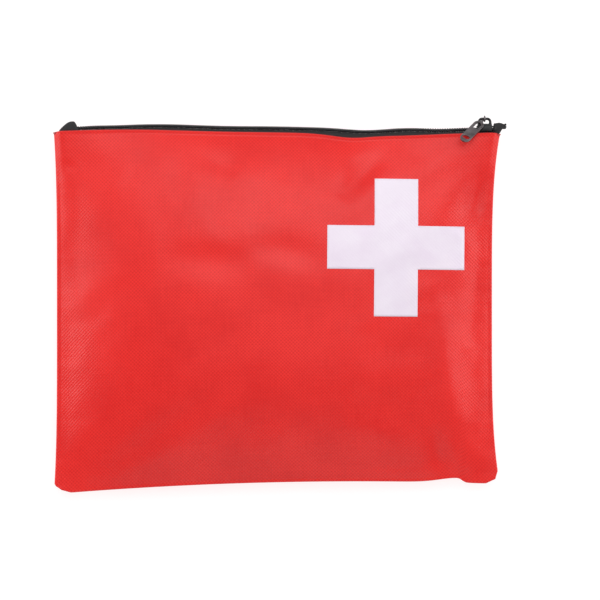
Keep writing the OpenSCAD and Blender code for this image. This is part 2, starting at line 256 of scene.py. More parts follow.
def new_object(name, points, faces, material, smooth=True):
    mesh = bpy.data.meshes.new(name)
    mesh.from_pydata([tuple(p) for p in points], [], faces)
    mesh.materials.append(material)
    mesh.update()
    if smooth:
        mesh.polygons.foreach_set("use_smooth", [True] * len(mesh.polygons))
    return placed(name, mesh)


def grid_object(name, points, material, uv=None, flip=False, wrap=False):
    """A surface over points of shape (n, m, 3), with an optional UV map of shape (n, m, 2)."""
    n, m = points.shape[:2]
    faces = grid_faces(n, m, wrap)
    if flip:
        faces = [f[::-1] for f in faces]
    made = new_object(name, points.reshape(-1, 3), faces, material)
    if uv is not None:
        set_cut(made, uv.reshape(-1, 2))
    return made


def tubes_object(name, tubes, material):
    """One object out of many tubes, each an array of the same shape (n, sides, 3)."""
    n, sides = tubes[0].shape[:2]
    quads = grid_faces(n, sides, wrap=True)
    faces = [tuple(c + k * n * sides for c in f) for k in range(len(tubes)) for f in quads]
    return new_object(name, np.reshape(tubes, (-1, 3)), faces, material)


def tube(path, radius, sides=8, squash=1.0):
    """Points of a round tube along a path, shape (n, sides, 3); radius may vary along it."""
    path = np.asarray(path, float)
    ahead = np.gradient(path, axis=0)
    ahead /= np.linalg.norm(ahead, axis=1)[:, None]
    side = np.cross(ahead, [0.31, 0.17, 0.93])
    side /= np.linalg.norm(side, axis=1)[:, None]
    up = np.cross(side, ahead)
    angle = np.linspace(0, 2 * np.pi, sides, endpoint=False)
    radius = np.broadcast_to(radius, len(path))[:, None, None]
    ring = side[:, None] * np.cos(angle)[:, None] + squash * up[:, None] * np.sin(angle)[:, None]
    return path[:, None] + radius * ring


def add_modifier(made, kind, **settings):
    modifier = made.modifiers.new(kind.lower(), kind)
    for key, value in settings.items():
        setattr(modifier, key, value)
    return modifier


def thicken(made, thickness, offset=-1.0, inner=0):
    return add_modifier(
        made, "SOLIDIFY", thickness=thickness, offset=offset, material_offset=inner,
        material_offset_rim=0, use_even_offset=True,
    )


def round_edges(made, width, segments=2):
    return add_modifier(
        made, "BEVEL", width=width, segments=segments, limit_method="ANGLE",
        angle_limit=math.radians(35), harden_normals=False,
    )


def join(name, objects):
    """One object out of several, each with its own materials."""
    for o in bpy.context.view_layer.objects:
        o.select_set(False)
    for o in objects:
        o.select_set(True)
    bpy.context.view_layer.objects.active = objects[0]
    bpy.ops.object.join()
    objects[0].name = name
    return objects[0]


def applied(made):
    """The same object with its modifiers made into mesh."""
    mesh = bpy.data.meshes.new_from_object(evaluated(made))
    made.modifiers.clear()
    made.data = mesh
    return made


# ---- Materials ---------------------------------------------------------------------------

class Paint:
    """A material's node tree with short ways to add to it."""

    def __init__(self, name, roughness=0.5, metallic=0.0, **sockets):
        self.material = bpy.data.materials.new(name)
        self.material.use_nodes = True
        self.tree = self.material.node_tree
        self.shader = self.tree.nodes["Principled BSDF"]
        self.set(Roughness=roughness, Metallic=metallic)
        for key, value in sockets.items():
            self.shader.inputs[key.replace("_", " ")].default_value = value

    def set(self, **values):
        for key, value in values.items():
            self.wire(value, self.shader.inputs[key.replace("_", " ")])

    def wire(self, value, socket):
        if isinstance(value, bpy.types.NodeSocket):
            self.tree.links.new(value, socket)
        elif value is not None:
            socket.default_value = value

    def node(self, kind, inputs=(), **settings):
        made = self.tree.nodes.new("ShaderNode" + kind)
        for key, value in settings.items():
            setattr(made, key, value)
        for key, value in dict(inputs).items():
            self.wire(value, made.inputs[key])
        return made

    def math(self, operation, a, b=0.0):
        return self.node("Math", {0: a, 1: b}, operation=operation).outputs[0]

    def mix_of(self, *parts):
        """Sum of (value, weight) pairs."""
        total = 0.0
        for value, weight in parts:
            total = self.math("ADD", self.math("MULTIPLY", value, weight), total)
        return total

    def place(self, scale=1.0, uv=False):
        """Coordinates in metres times scale: of the flat cut, or of the row frame."""
        if uv:
            source = self.node("UVMap", uv_map="cut").outputs[0]
        else:
            source = self.node("TexCoord").outputs["Object"]
        scale = scale if hasattr(scale, "__len__") else (scale,) * 3
        return self.node("Mapping", {"Vector": source, "Scale": scale}).outputs[0]

    def noise(self, where, scale, detail=3.0, rough=0.55):
        inputs = {"Vector": where, "Scale": scale, "Detail": detail, "Roughness": rough}
        return self.node("TexNoise", inputs).outputs[0]

    def blend(self, share, a, b):
        """Colour a where share is 0 and b where it is 1."""
        made = self.node("Mix", {0: share}, data_type="RGBA")
        self.wire(a, made.inputs[6])
        self.wire(b, made.inputs[7])
        return made.outputs[2]

    def spread(self, value, low, high, to_low=0.0, to_high=1.0):
        inputs = {0: value, 1: low, 2: high, 3: to_low, 4: to_high}
        return self.node("MapRange", inputs).outputs[0]

    def weave(self, where, pitch):
        """Height of a plain weave with this yarn pitch, from 0 to 1."""
        parts = self.node("SeparateXYZ", {0: where}).outputs
        waves = [
            self.math("SINE", self.math("MULTIPLY", parts[k], math.pi / pitch)) for k in (0, 1)
        ]
        return self.spread(self.math("MULTIPLY", *waves), -1, 1)

    def relief(self, *heights):
        """Bump from (height, depth in metres) pairs, coarse first."""
        normal = None
        for height, depth in heights:
            inputs = {"Height": height, "Distance": depth, "Strength": 1.0}
            if normal is not None:
                inputs["Normal"] = normal
            normal = self.node("Bump", inputs).outputs[0]
        self.set(Normal=normal)

    def finish(self, share, dark, light, rough, *heights):
        """Colour from dark to light by share, then roughness and bump. Returns the material."""
        self.set(Base_Color=self.blend(share, dark, light), Roughness=rough)
        self.relief(*heights)
        return self.material


def rgb(r, g, b):
    return (r, g, b, 1.0)


def cloth_paint(name, light, dark, pitch, uv=False, depth=0.12 * MM, roughness=0.7, **sockets):
    """Woven cloth: yarns, slubs, uneven dye, and colour that is darker in the weave's low spots."""
    paint = Paint(name, roughness, **sockets)
    where = paint.place(1.0, uv)
    yarn = paint.weave(where, pitch)
    slub = paint.noise(paint.place((900, 130, 900), uv), 1.0, 2)
    cloud = paint.noise(where, 38, 4)
    shade = paint.mix_of((yarn, 0.45), (slub, 0.3), (cloud, 0.4))
    return paint.finish(
        paint.spread(shade, 0.25, 0.9), dark, light,
        paint.spread(cloud, 0.3, 0.7, roughness - 0.07, roughness + 0.07),
        (cloud, 0.5 * depth), (slub, 0.4 * depth), (yarn, depth),
    )


def film_paint(name, light, dark, roughness=0.3, crease=0.3 * MM, **sockets):
    """Thin plastic or metallised film: sharp small creases and a cloudy gloss."""
    paint = Paint(name, roughness, **sockets)
    where = paint.place()
    cells = paint.node("TexVoronoi", {"Vector": where, "Scale": 70.0}, feature="DISTANCE_TO_EDGE")
    cloud = paint.noise(where, 55, 4)
    crumple = paint.math("ADD", paint.spread(cells.outputs[0], 0, 0.25), cloud)
    return paint.finish(
        paint.spread(cloud, 0.35, 0.7), dark, light,
        paint.spread(cloud, 0.3, 0.7, roughness - 0.08, roughness + 0.12),
        (crumple, crease), (paint.noise(where, 420, 3), 0.03 * MM),
    )


def paper_paint(name, light, dark, roughness=0.75):
    """Paper or card: fibres, a faint tooth and rubbed patches."""
    paint = Paint(name, roughness)
    fibre = paint.noise(paint.place((1500, 500, 900)), 1.0, 4)
    rubbed = paint.noise(paint.place(), 30, 4)
    shade = paint.mix_of((fibre, 0.4), (rubbed, 0.6))
    return paint.finish(
        paint.spread(shade, 0.35, 0.65), dark, light,
        paint.spread(rubbed, 0.3, 0.7, roughness - 0.1, roughness + 0.05),
        (rubbed, 0.08 * MM), (fibre, 0.04 * MM),
    )


def metal_paint(name, light, dark, roughness, grain, metallic=1.0):
    """Metal with a brushed or tumbled grain, scratches and dull handled spots."""
    paint = Paint(name, roughness, metallic)
    lines = paint.noise(paint.place(grain), 1.0, 5, 0.7)
    worn = paint.noise(paint.place(), 260, 3)
    both = paint.math("ADD", lines, worn)
    return paint.finish(
        paint.spread(worn, 0.35, 0.7), dark, light,
        paint.spread(both, 0.7, 1.3, roughness - 0.08, roughness + 0.14),
        (worn, 0.03 * MM), (lines, 0.02 * MM),
    )


def plastic_paint(name, light, dark, roughness=0.35, **sockets):
    """Moulded plastic: fine texture, flow marks and scuffs."""
    paint = Paint(name, roughness, **sockets)
    where = paint.place()
    flow = paint.noise(where, 120, 3)
    scuff = paint.noise(paint.place((2600, 300, 900)), 1.0, 4)
    return paint.finish(
        paint.spread(flow, 0.35, 0.68), dark, light,
        paint.spread(scuff, 0.35, 0.65, roughness - 0.06, roughness + 0.15),
        (flow, 0.04 * MM), (paint.noise(where, 1800, 2), 0.015 * MM),
    )


YARN = 0.95 * MM                                   # the shell's yarn pitch


def shell_paint():
    """The pouch's outside: red plain weave with a thin clear coat that catches the light; the
    yarns' pattern in its colour is lighter on their crowns as painted sheen and darker between them
    as painted shade.
    """
    paint = Paint("red_shell", 0.35, Specular_IOR_Level=0.4)
    where = paint.place(1.0, uv=True)
    yarn = paint.weave(where, YARN)
    warp = paint.noise(paint.place((1500, 60, 1), uv=True), 1.0, 2)
    weft = paint.noise(paint.place((60, 1500, 1), uv=True), 1.0, 2)
    cloud = paint.noise(where, 26, 4)
    rubbed = paint.noise(where, 9, 3)
    threads = paint.math("MULTIPLY", paint.math("ADD", warp, weft), 0.35)
    # The yarns' pattern in the colour: partly the weave's own tone, partly painted sheen on the
    # yarns' crowns and painted shade in the gaps between them, made uneven by the cloud.
    yarn_tone_sheen_and_shade = paint.math("MULTIPLY", yarn, paint.spread(cloud, 0.35, 0.65, 0.35, 0.8))
    shade = paint.mix_of((threads, 1.0), (yarn_tone_sheen_and_shade, 1.0), (cloud, 0.2))
    return paint.finish(
        paint.spread(shade, 0.4, 1.0), rgb(0.76, 0.009, 0.008), rgb(0.94, 0.025, 0.020),
        paint.spread(rubbed, 0.3, 0.7, 0.31, 0.42),
        (cloud, 0.06 * MM), (threads, 0.05 * MM), (yarn, 0.1 * MM),
    )


def lining_paint():
    """The pouch's inside: the fabric's rubbery coating, with the weave showing through."""
    paint = Paint("red_lining", 0.38)
    where = paint.place(1.0, uv=True)
    yarn = paint.weave(where, YARN)
    cloud = paint.noise(where, 40, 4)
    return paint.finish(
        paint.spread(cloud, 0.35, 0.65), rgb(0.42, 0.012, 0.012), rgb(0.55, 0.02, 0.02), None,
        (cloud, 0.15 * MM), (yarn, 0.05 * MM),
    )


def emblem_paint():
    """White film bonded to the weave, with the yarns printing through and faint scuffs."""
    paint = Paint("white_film", 0.42)
    where = paint.place()
    yarn = paint.weave(where, YARN)
    scuff = paint.noise(where, 60, 5)
    pink = paint.spread(paint.noise(where, 24, 3), 0.5, 0.75, 0, 0.35)
    base = paint.blend(pink, rgb(0.94, 0.85, 0.96), rgb(0.95, 0.80, 0.88))
    return paint.finish(
        paint.spread(scuff, 0.35, 0.62), rgb(0.90, 0.79, 0.92), base,
        paint.spread(scuff, 0.3, 0.7, 0.36, 0.52),
        (scuff, 0.06 * MM), (yarn, 0.05 * MM),
    )


def coil_paint():
    """Dyed nylon monofilament with mould lines and a soft shine."""
    paint = Paint("black_nylon", 0.36)
    where = paint.place()
    lines = paint.noise(paint.place((200, 2200, 2200)), 1.0, 3)
    return paint.finish(
        paint.noise(where, 300, 3), rgb(0.008, 0.008, 0.009), rgb(0.03, 0.03, 0.033),
        paint.spread(lines, 0.3, 0.7, 0.28, 0.46), (lines, 0.03 * MM),
    )


SHELL = shell_paint()
LINING = lining_paint()
EMBLEM = emblem_paint()
TAPE = cloth_paint(
    "black_tape", rgb(0.028, 0.028, 0.03), rgb(0.006, 0.006, 0.007), 0.45 * MM, roughness=0.75
)
COIL = coil_paint()
GUNMETAL = metal_paint(
    "gunmetal", rgb(0.26, 0.235, 0.24), rgb(0.13, 0.115, 0.12), 0.36, (1800, 400, 1800)
)
BLACK_METAL = metal_paint(
    "black_metal", rgb(0.035, 0.035, 0.036), rgb(0.012, 0.012, 0.013), 0.42,
    (900, 900, 900), metallic=0.6,
)
THREAD = cloth_paint(
    "red_thread", rgb(0.62, 0.03, 0.03), rgb(0.30, 0.01, 0.01), 0.16 * MM, depth=0.03 * MM
)
BLACK_THREAD = cloth_paint(
    "black_thread", rgb(0.04, 0.04, 0.045), rgb(0.01, 0.01, 0.011), 0.16 * MM, depth=0.03 * MM
)
BINDING = cloth_paint(
    "binding_tape", rgb(0.45, 0.02, 0.02), rgb(0.25, 0.01, 0.01), 0.5 * MM, roughness=0.8
)
GAUZE = cloth_paint(
    "gauze", rgb(0.88, 0.87, 0.82), rgb(0.62, 0.60, 0.54), 0.8 * MM, depth=0.25 * MM, roughness=0.9
)
COHESIVE = cloth_paint(
    "cohesive_bandage", rgb(0.16, 0.34, 0.60), rgb(0.06, 0.16, 0.36), 1.1 * MM,
    depth=0.35 * MM, roughness=0.85,
)
TAPE_CLOTH = cloth_paint(
    "fixing_tape_cloth", rgb(0.90, 0.86, 0.78), rgb(0.72, 0.66, 0.56), 0.5 * MM, roughness=0.7
)
SPOOL = plastic_paint("spool_plastic", rgb(0.86, 0.86, 0.84), rgb(0.74, 0.74, 0.72))
BLANKET = film_paint(
    "metallised_film", rgb(0.82, 0.80, 0.74), rgb(0.60, 0.56, 0.46), 0.22, Metallic=0.9
)
CALICO = cloth_paint(
    "calico", rgb(0.86, 0.85, 0.80), rgb(0.70, 0.68, 0.62), 0.7 * MM, roughness=0.88
)
PAPER = paper_paint("sachet_paper", rgb(0.90, 0.90, 0.90), rgb(0.78, 0.79, 0.80))
LEAFLET = paper_paint("leaflet_paper", rgb(0.88, 0.88, 0.85), rgb(0.78, 0.78, 0.74))
CARD = paper_paint("plaster_card", rgb(0.84, 0.66, 0.48), rgb(0.70, 0.52, 0.36), 0.6)
GLOVES = film_paint("glove_film", rgb(0.42, 0.62, 0.84), rgb(0.26, 0.45, 0.68), 0.35)
FOIL = film_paint("sachet_foil", rgb(0.80, 0.88, 0.92), rgb(0.62, 0.74, 0.82), 0.3, 0.15 * MM)
STEEL = metal_paint(
    "brushed_steel", rgb(0.66, 0.66, 0.67), rgb(0.48, 0.48, 0.50), 0.28, (150, 2600, 2600)
)
GRIP = plastic_paint("orange_grip", rgb(0.86, 0.17, 0.03), rgb(0.66, 0.10, 0.02))


# ---- Panels ------------------------------------------------------------------------------

def shares(n):
    """Grid lines from -1 to 1: n even ones, and closer ones at both ends for the seam."""
    ends = np.array([0.0, 0.0006, 0.002, 0.0045, 0.009, 0.015])
    middle = np.linspace(-0.978, 0.978, n)
    return np.concatenate([ends - 1, middle, 1 - ends[::-1]])


def smoothed(field, times):
    """Each pass averages every point of a 2-D field with its neighbours."""
    for _ in range(times):
        padded = np.pad(field, 1, mode="edge")
        field = (
            4 * field + padded[:-2, 1:-1] + padded[2:, 1:-1] + padded[1:-1, :-2] + padded[1:-1, 2:]
        ) / 8
    return field


def resampled(field, rows, columns, new_rows, new_columns):
    """A field on one grid of shares, read at the lines of another."""
    across = np.array([np.interp(new_columns, columns, line) for line in field])
    return np.array([np.interp(new_rows, rows, line) for line in across.T]).T


SKIN_GRID = (62, 50)
DRAWN_FRAME, LAST_FRAME = 14, 20


def simulate_skin():
    """Both panels as one closed cloth, cut flat, then drawn in at the seams and filled.

    Returns the grid's shares, and the wrinkles of the front and of the back as heights."""
    n, m = SKIN_GRID
    us, vs = np.linspace(-1, 1, n), np.linspace(-1, 1, m)
    u, v = np.meshgrid(us, vs, indexing="ij")
    rim = (np.abs(u) > 0.9999) | (np.abs(v) > 0.9999)
    index = np.arange(n * m).reshape(n, m)
    under = index.copy()
    under[~rim] = n * m + np.arange((~rim).sum())

    def layers(x, y, top, bottom):
        upper = np.stack([x, y, top], -1).reshape(-1, 3)
        lower = np.stack([x, y, bottom], -1)[~rim]
        return np.concatenate([upper, lower])

    dome = 0.25 * RISE * (1 - u**2) * (1 - v**2)
    cut = layers(u * CUT[0] / 2, v * CUT[1] / 2, SEAM_Z + dome, SEAM_Z - dome)
    x, y = plan(u, v)
    drawn = layers(x, y, front_height(u, v), back_height(u, v))
    faces = []
    for grid, order in ((index, 1), (under, -1)):
        flat = grid.ravel()
        faces += [tuple(int(flat[k]) for k in quad[::order]) for quad in grid_faces(n, m)]
    cloth = new_object("skin", cut, faces, SHELL)
    cloth.shape_key_add(name="cut")
    key = cloth.shape_key_add(name="drawn")
    key.data.foreach_set("co", drawn.astype(np.float32).ravel())
    key.value = 0.0
    key.keyframe_insert("value", frame=1)
    key.value = 1.0
    key.keyframe_insert("value", frame=DRAWN_FRAME)
    held = cloth.vertex_groups.new(name="held")
    held.add([int(k) for k in index[rim]], 1.0, "REPLACE")
    settings = add_modifier(cloth, "CLOTH").settings
    settings.quality = 6
    settings.mass = 0.25
    settings.tension_stiffness = 40
    settings.compression_stiffness = 40
    settings.shear_stiffness = 12
    settings.bending_stiffness = 0.6
    settings.vertex_group_mass = "held"
    settings.use_pressure = True
    settings.uniform_pressure_force = 4
    settings.effector_weights.gravity = 0
    scene = bpy.context.scene
    scene.frame_end = LAST_FRAME
    for moment in range(1, LAST_FRAME + 1):
        scene.frame_set(moment)
    height = np.array([p.co.z for p in evaluated(cloth).to_mesh().vertices])
    mesh = cloth.data
    bpy.data.objects.remove(cloth)
    bpy.data.meshes.remove(mesh)
    scene.frame_set(1)
    return us, vs, [z - smoothed(z, 26) for z in (height[index], height[under])]


def fold(x, y, start, end, width, rise):
    """A soft crease from start to end, deepest half way; rise is below 0 for a valley."""
    (x0, y0), (x1, y1) = [[k * MM for k in p] for p in (start, end)]
    length = math.hypot(x1 - x0, y1 - y0)
    along = ((x - x0) * (x1 - x0) + (y - y0) * (y1 - y0)) / length**2
    off = ((x - x0) * (y1 - y0) - (y - y0) * (x1 - x0)) / length
    taper = np.clip(1 - np.abs(2 * along - 1) ** 2, 0, 1)
    return rise * MM * taper * np.exp(-((off / (width * MM)) ** 2))


# start and end in mm, half width and height in mm
FRONT_FOLDS = [
    ((33, 56), (62, 92), 6, -2.55),
    ((33, 60), (35, 94), 4, 0.9),
    ((62, 84), (84, 80), 5, -1.2),
    ((-62, 27), (-12, 24), 9, -1.65),
    ((-16, 34), (28, 26), 7, -1.05),
    ((-44, 84), (-20, 70), 5, -0.9),
    ((114, 76), (92, 40), 8, -2.7),
    ((108, 50), (100, -20), 6, -1.2),
    ((78, 22), (97, -86), 8, 2.25),
    ((34, -47), (74, -54), 10, -1.95),
    ((48, -40), (52, -70), 6, 0.75),
    ((90, -94), (80, -60), 5, -1.35),
    ((-117, 77), (-104, 73), 2.2, -1.35),
    ((-112, 88), (-84, 66), 8, -0.9),
    ((-108, 86), (-86, 88), 3, -0.75),
    ((-112, -90), (-84, -66), 8, -0.75),
]


def front_detail(x, y):
    """Folds and the uneven fill; panel() fades them out at the seam line."""
    detail = sum(fold(x, y, *f) for f in FRONT_FOLDS)
    upper = 0.4 + 0.6 * smoothstep((y + 10 * MM) / (50 * MM))
    broad = 0.5 * MM * ripple(x, y, 46 * MM, 3.1)
    small = 0.35 * MM * upper * ripple(x, y, 17 * MM, 8.7)
    return detail + broad + small


def seam_pucker(u, v, x, y):
    """Small tucks that run in from the side and bottom seams, a few millimetres apart."""
    side_in = (1 - np.abs(u)) * HALF_W
    low_in = (v + 1) * HALF_H
    side = ripple(y, np.sign(u) * 40 * MM + 0 * y, 3.4 * MM, 5.3) * np.exp(-side_in / (7 * MM))
    low = ripple(x, 0 * x, 3.8 * MM, 9.1) * np.exp(-low_in / (7 * MM))
    return 0.30 * MM * (side + low)


WRINKLE_SHARE = 0.3                                # of the simulated wrinkles' height
SEAM_FADE, MOUTH_FADE = 9 * MM, 26 * MM            # folds and wrinkles fade out this near


def panel(name, height, wrinkles, sign):
    """One panel on a grid, its hem turned in along the mouth. sign is 1 in front, -1 behind."""
    us, vs = shares(150), shares(118)
    u, v = np.meshgrid(us, vs, indexing="ij")
    x, y = plan(u, v)
    inset = np.minimum((1 - np.abs(u)) * HALF_W, (v + 1) * HALF_H)
    fade = smoothstep(inset / SEAM_FADE) * smoothstep((HALF_H - y) / MOUTH_FADE)
    z = height(u, v)
    if wrinkles is not None:
        cut_u, cut_v, field = wrinkles
        z = z + WRINKLE_SHARE * fade * smoothed(resampled(field, cut_u, cut_v, us, vs), 3)
    near = smoothstep(inset / (1.2 * MM))
    z = z + near * seam_pucker(u, v, x, y) * sign
    if sign > 0:
        z = z + fade * front_detail(x, y)
    else:
        z = np.maximum(z, 0)
    points = np.stack([x, y, z], -1)
    turn = np.linspace(0, np.pi, 7)[1:]
    radius = ROLL_R * gap(u[:, -1:], 1.0)
    lip = points[:, -1:]
    bend = np.stack([0 * turn, np.sin(turn), -sign * (1 - np.cos(turn))], -1)[None]
    rolled = lip + radius[..., None] * bend
    inward = np.linspace(0, HEM, 6)[1:]
    hem = np.repeat(lip, len(inward), 1)
    hem[..., 1] -= inward
    for column, surface, r in zip(hem, points, radius):
        narrowing = 1 - 0.02 * inward / HEM
        column[:, 0] = np.interp(column[:, 1], surface[:, 1], surface[:, 0]) * narrowing
        column[:, 2] = np.interp(column[:, 1], surface[:, 1], surface[:, 2]) - sign * 2 * r
    points = np.concatenate([points, rolled, hem], 1)
    cut_y = np.concatenate([v[0] * CUT[1] / 2, CUT[1] / 2 + np.arange(1, 12) * MM])
    uv = np.stack(np.meshgrid(us * CUT[0] / 2, cut_y, indexing="ij"), -1)
    made = grid_object(name, points, SHELL, uv, flip=sign < 0)
    made.data.materials.append(LINING)
    thicken(made, 0.45 * MM, inner=1)
    return made


def follow_mouth(made):
    """Bakes the piece's transform into its mesh."""
    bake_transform(made)
    return made


def cross(front):
    """The emblem's film, laid on the front panel just made."""
    surface = BVHTree.FromObject(front, bpy.context.evaluated_depsgraph_get())
    middle = (cross_low + cross_high) / 2
    span = (cross_high.x - cross_low.x) / 2
    arm = 22.5 * MM / 2
    step = 1.1 * MM
    lines = np.concatenate([
        np.linspace(-span, -arm, round((span - arm) / step)),
        np.linspace(-arm, arm, round(2 * arm / step))[1:-1],
        np.linspace(arm, span, round((span - arm) / step)),
    ])
    lean = math.radians(-0.5)
    spots, faces, index = [], [], {}

    def inside(a):
        return abs(a) <= arm + 1e-9

    for i, a in enumerate(lines):
        for j, b in enumerate(lines):
            if inside(a) or inside(b):
                px = middle.x + a * math.cos(lean) - b * math.sin(lean)
                py = middle.y + a * math.sin(lean) + b * math.cos(lean)
                hit, normal = surface.ray_cast(Vector((px, py, 1)), Vector((0, 0, -1)))[:2]
                index[i, j] = len(spots)
                spots.append(hit + normal * 0.16 * MM)
    centres = (lines[1:] + lines[:-1]) / 2
    for i, a in enumerate(centres):
        for j, b in enumerate(centres):
            if inside(a) or inside(b):
                corners = [(i, j), (i + 1, j), (i + 1, j + 1), (i, j + 1)]
                faces.append([index[c] for c in corners])
    made = new_object("cross_film", spots, faces, EMBLEM)
    thicken(made, 0.12 * MM)
    return made


# ---- Zip ---------------------------------------------------------------------------------

DOME_X, DOME_Y, DOME_RISE = tape_low.x - 1 * MM, HALF_H + 1.1 * MM, 4.6 * MM
DOME_DEPTH = 2.75 * MM                              # half of the folded end's thickness
DOME_END = SHUT_X - TRAVEL - 5.4 * MM               # where the slider ends at full travel
CLOSE = 0.42 * MM                                   # the tapes end this far from the centre line
LEAN = np.array([0.35, 0.7, 0.95, 1.0, 1.0, 1.0])   # how far each point has climbed to the coil
TAPE_Z = np.array([3.1, 3.1, 3.1, 3.0, 2.5, 2.0, 1.5, 1.2, 0.8, 0.42]) * MM


def zip_tape(name, side):
    """One tape: sewn under its panel's hem, then up to the coil. Its left end is folded over
    the coil's end, and its right end stands up past the slider."""
    xs = np.linspace(tape_low.x - 1 * MM, tape_high.x, 420)[:, None]
    lip = MOUTH_Y + mouth_wave(xs)
    base = TAPE_Y + 0.45 * MM + zip_wave(xs)
    hem = np.clip((HALF_W - 6 * MM - np.abs(xs)) / (6 * MM), 0.1, 1)
    shut = np.clip((HALF_W - 3 * MM - np.abs(xs)) / (6 * MM), 0.3, 1)
    k = np.linspace(0, 1, 10)[None]
    start = np.array([[-HEM, -HEM / 2, -0.2 * MM, 0.35 * MM]])
    start = lip + start * np.where(start < -MM, hem, 1)
    climb = (1 - LEAN) * start[:, -1:] + LEAN * base
    tent_y = np.concatenate([start, climb], 1)
    tent_z = CLOSE + (np.array([TAPE_Z]) - CLOSE) * shut
    crest = DOME_Y + DOME_RISE * np.sin(np.clip((xs - DOME_X) / (6.5 * MM), 0, 1) * np.pi / 2)
    crest = crest - 1.6 * MM * smoothstep((xs - DOME_X - 7 * MM) / (6 * MM))
    dome_y = lip - 0.8 * MM + (crest - lip + 0.8 * MM) * np.sin(k * np.pi / 2)
    dome_z = DOME_DEPTH * np.cos(k * np.pi / 2) + 0.1 * MM + 0 * xs
    foot = lip + 2.7 * MM * smoothstep((xs - HALF_W + 0.7 * MM) / (2 * MM))
    head = coil_high.y + 2.4 * MM - 0.5 * MM * smoothstep((xs - HALF_W) / (3 * MM))
    head = head + 0.15 * MM * np.sin(xs / (0.7 * MM))
    stub_y = foot + (head - foot) * k
    stub_z = (2.2 - 1.6 * k) * MM + 0.25 * MM * np.sin(3 * k + xs / (1.4 * MM))
    left = smoothstep((DOME_END - xs) / (3.2 * MM))
    right = smoothstep((xs - slider_high.x + 0.3 * MM) / (0.8 * MM))
    y = tent_y * (1 - left - right) + dome_y * left + stub_y * right
    z = tent_z * (1 - left - right) + dome_z * left + stub_z * right
    weave = 0.06 * MM * np.sin(xs / (0.5 * MM)) * np.sin(np.pi * k)
    points = np.stack([xs + 0 * y, y + weave, SEAM_Z + side * z], -1)
    made = grid_object(name, points, TAPE, flip=side < 0)
    thicken(made, 0.4 * MM, offset=0)
    return made


def frayed_end():
    """Cut yarns that stand out of the tapes' right-hand end."""
    tufts = []
    noise.seed_set(7)
    for k in range(44):
        spread = noise.random_vector()
        up = (k % 11) / 10
        z = SEAM_Z + (k / 43 - 0.5) * 4 * MM
        start = Vector((tape_high.x - 0.5 * MM, coil_high.y + (0.3 + 1.8 * up) * MM, z))
        bow = Vector((0.35 + 0.5 * abs(spread.x), 0.5 * spread.y, 0.6 * spread.z)) * MM
        path = [start + bow * t - Vector((0, 0.25 * MM * t * t, 0)) for t in np.linspace(0, 1, 5)]
        tufts.append(tube(path, 0.11 * MM, 5))
    return tubes_object("tape_fray", tufts, BLACK_THREAD)


def zip_coil(name, side):
    """One continuous coil, a turn every PITCH, half a pitch behind the other side's."""
    start, end = coil_low.x, coil_high.x
    count = (end - start) / PITCH
    t = np.linspace(0, 2 * np.pi * count, int(count * 14))
    x = start + PITCH * t / (2 * np.pi)
    phase = 0 if side > 0 else np.pi
    parted = PARTING * smoothstep((x - SHUT_X) / (3 * MM))
    reach = 1.08 * MM - 0.5 * parted
    z = SEAM_Z + side * (COIL_OFF + parted + reach * np.cos(t + phase))
    y = COIL_MID + zip_wave(x) + (COIL_R - WIRE_R) * np.sin(t + phase)
    turns = grid_object(name, tube(np.stack([x, y, z], -1), WIRE_R, 7), COIL, wrap=True)
    xs = np.linspace(start + WIRE_R, end - WIRE_R, 160)
    core_z = SEAM_Z + side * (COIL_OFF + PARTING * smoothstep((xs - SHUT_X) / (3 * MM)))
    core = np.stack([xs, COIL_MID + zip_wave(xs), core_z], -1)
    cord = grid_object("core", tube(core, 0.4 * MM, 8), BLACK_THREAD, wrap=True)
    return join(name, [turns, cord])


def stitches(name, path, pitch, radius, material, rise=0.35):
    """A row of lockstitches: short bowed threads, each dipping where the needle went."""
    path = np.asarray(path, float)
    steps = np.concatenate([[0], np.cumsum(np.linalg.norm(np.diff(path, axis=0), axis=1))])
    count = int(steps[-1] / pitch)
    made = []
    for k in range(count):
        t = np.linspace(k * pitch, (k + 0.86) * pitch, 6)
        line = np.stack([np.interp(t, steps, path[:, a]) for a in range(3)], -1)
        line[:, 2] += rise * radius * np.sin(np.linspace(0, np.pi, 6))
        made.append(tube(line, radius * np.array([0.5, 0.95, 1, 1, 0.95, 0.5]), 6))
    return tubes_object(name, made, material)


def coil_stitches(name, side):
    """The thread that sews a coil to its tape, one bite over each turn."""
    xs = np.arange(coil_low.x + PITCH, coil_high.x - PITCH, PITCH)
    made = []
    for x in xs:
        top = COIL_MID + zip_wave(x) + COIL_R
        z = SEAM_Z + side * 1.45 * MM
        line = [(x - 0.5 * PITCH, top - 0.5 * MM, z), (x - 0.2 * PITCH, top, z),
                (x + 0.2 * PITCH, top, z), (x + 0.5 * PITCH, top - 0.5 * MM, z)]
        made.append(tube(line, 0.16 * MM, 5))
    return tubes_object(name, made, BLACK_THREAD)


def sewn_coil(name, side):
    return join(name, [zip_coil(name, side), coil_stitches("bites", side)])


def block(name, low, high, material, bevel):
    """A box with rounded edges."""
    points = list(itertools.product(*zip(low, high)))
    faces = [(0, 1, 3, 2), (4, 6, 7, 5), (0, 4, 5, 1), (2, 3, 7, 6), (0, 2, 6, 4), (1, 5, 7, 3)]
    made = new_object(name, points, faces, material)
    round_edges(made, bevel, 3)
    return applied(made)


def prism(name, outline, low, high, axis, material, bevel):
    """An outline pushed from low to high along an axis: 0 is X, 1 is Y and 2 is Z."""
    n = len(outline)
    points = []
    for level in (low, high):
        for a, b in outline:
            spot = [a, b]
            spot.insert(axis, level)
            points.append(spot)
    faces = [tuple(range(n)), tuple(range(2 * n - 1, n - 1, -1))]
    faces += [(i, n + i, n + (i + 1) % n, (i + 1) % n) for i in range(n)]
    made = new_object(name, points, faces, material)
    face_outward(made)
    round_edges(made, bevel, 3)
    return applied(made)


CROWN = 1 * MM                                      # the slider's raised face


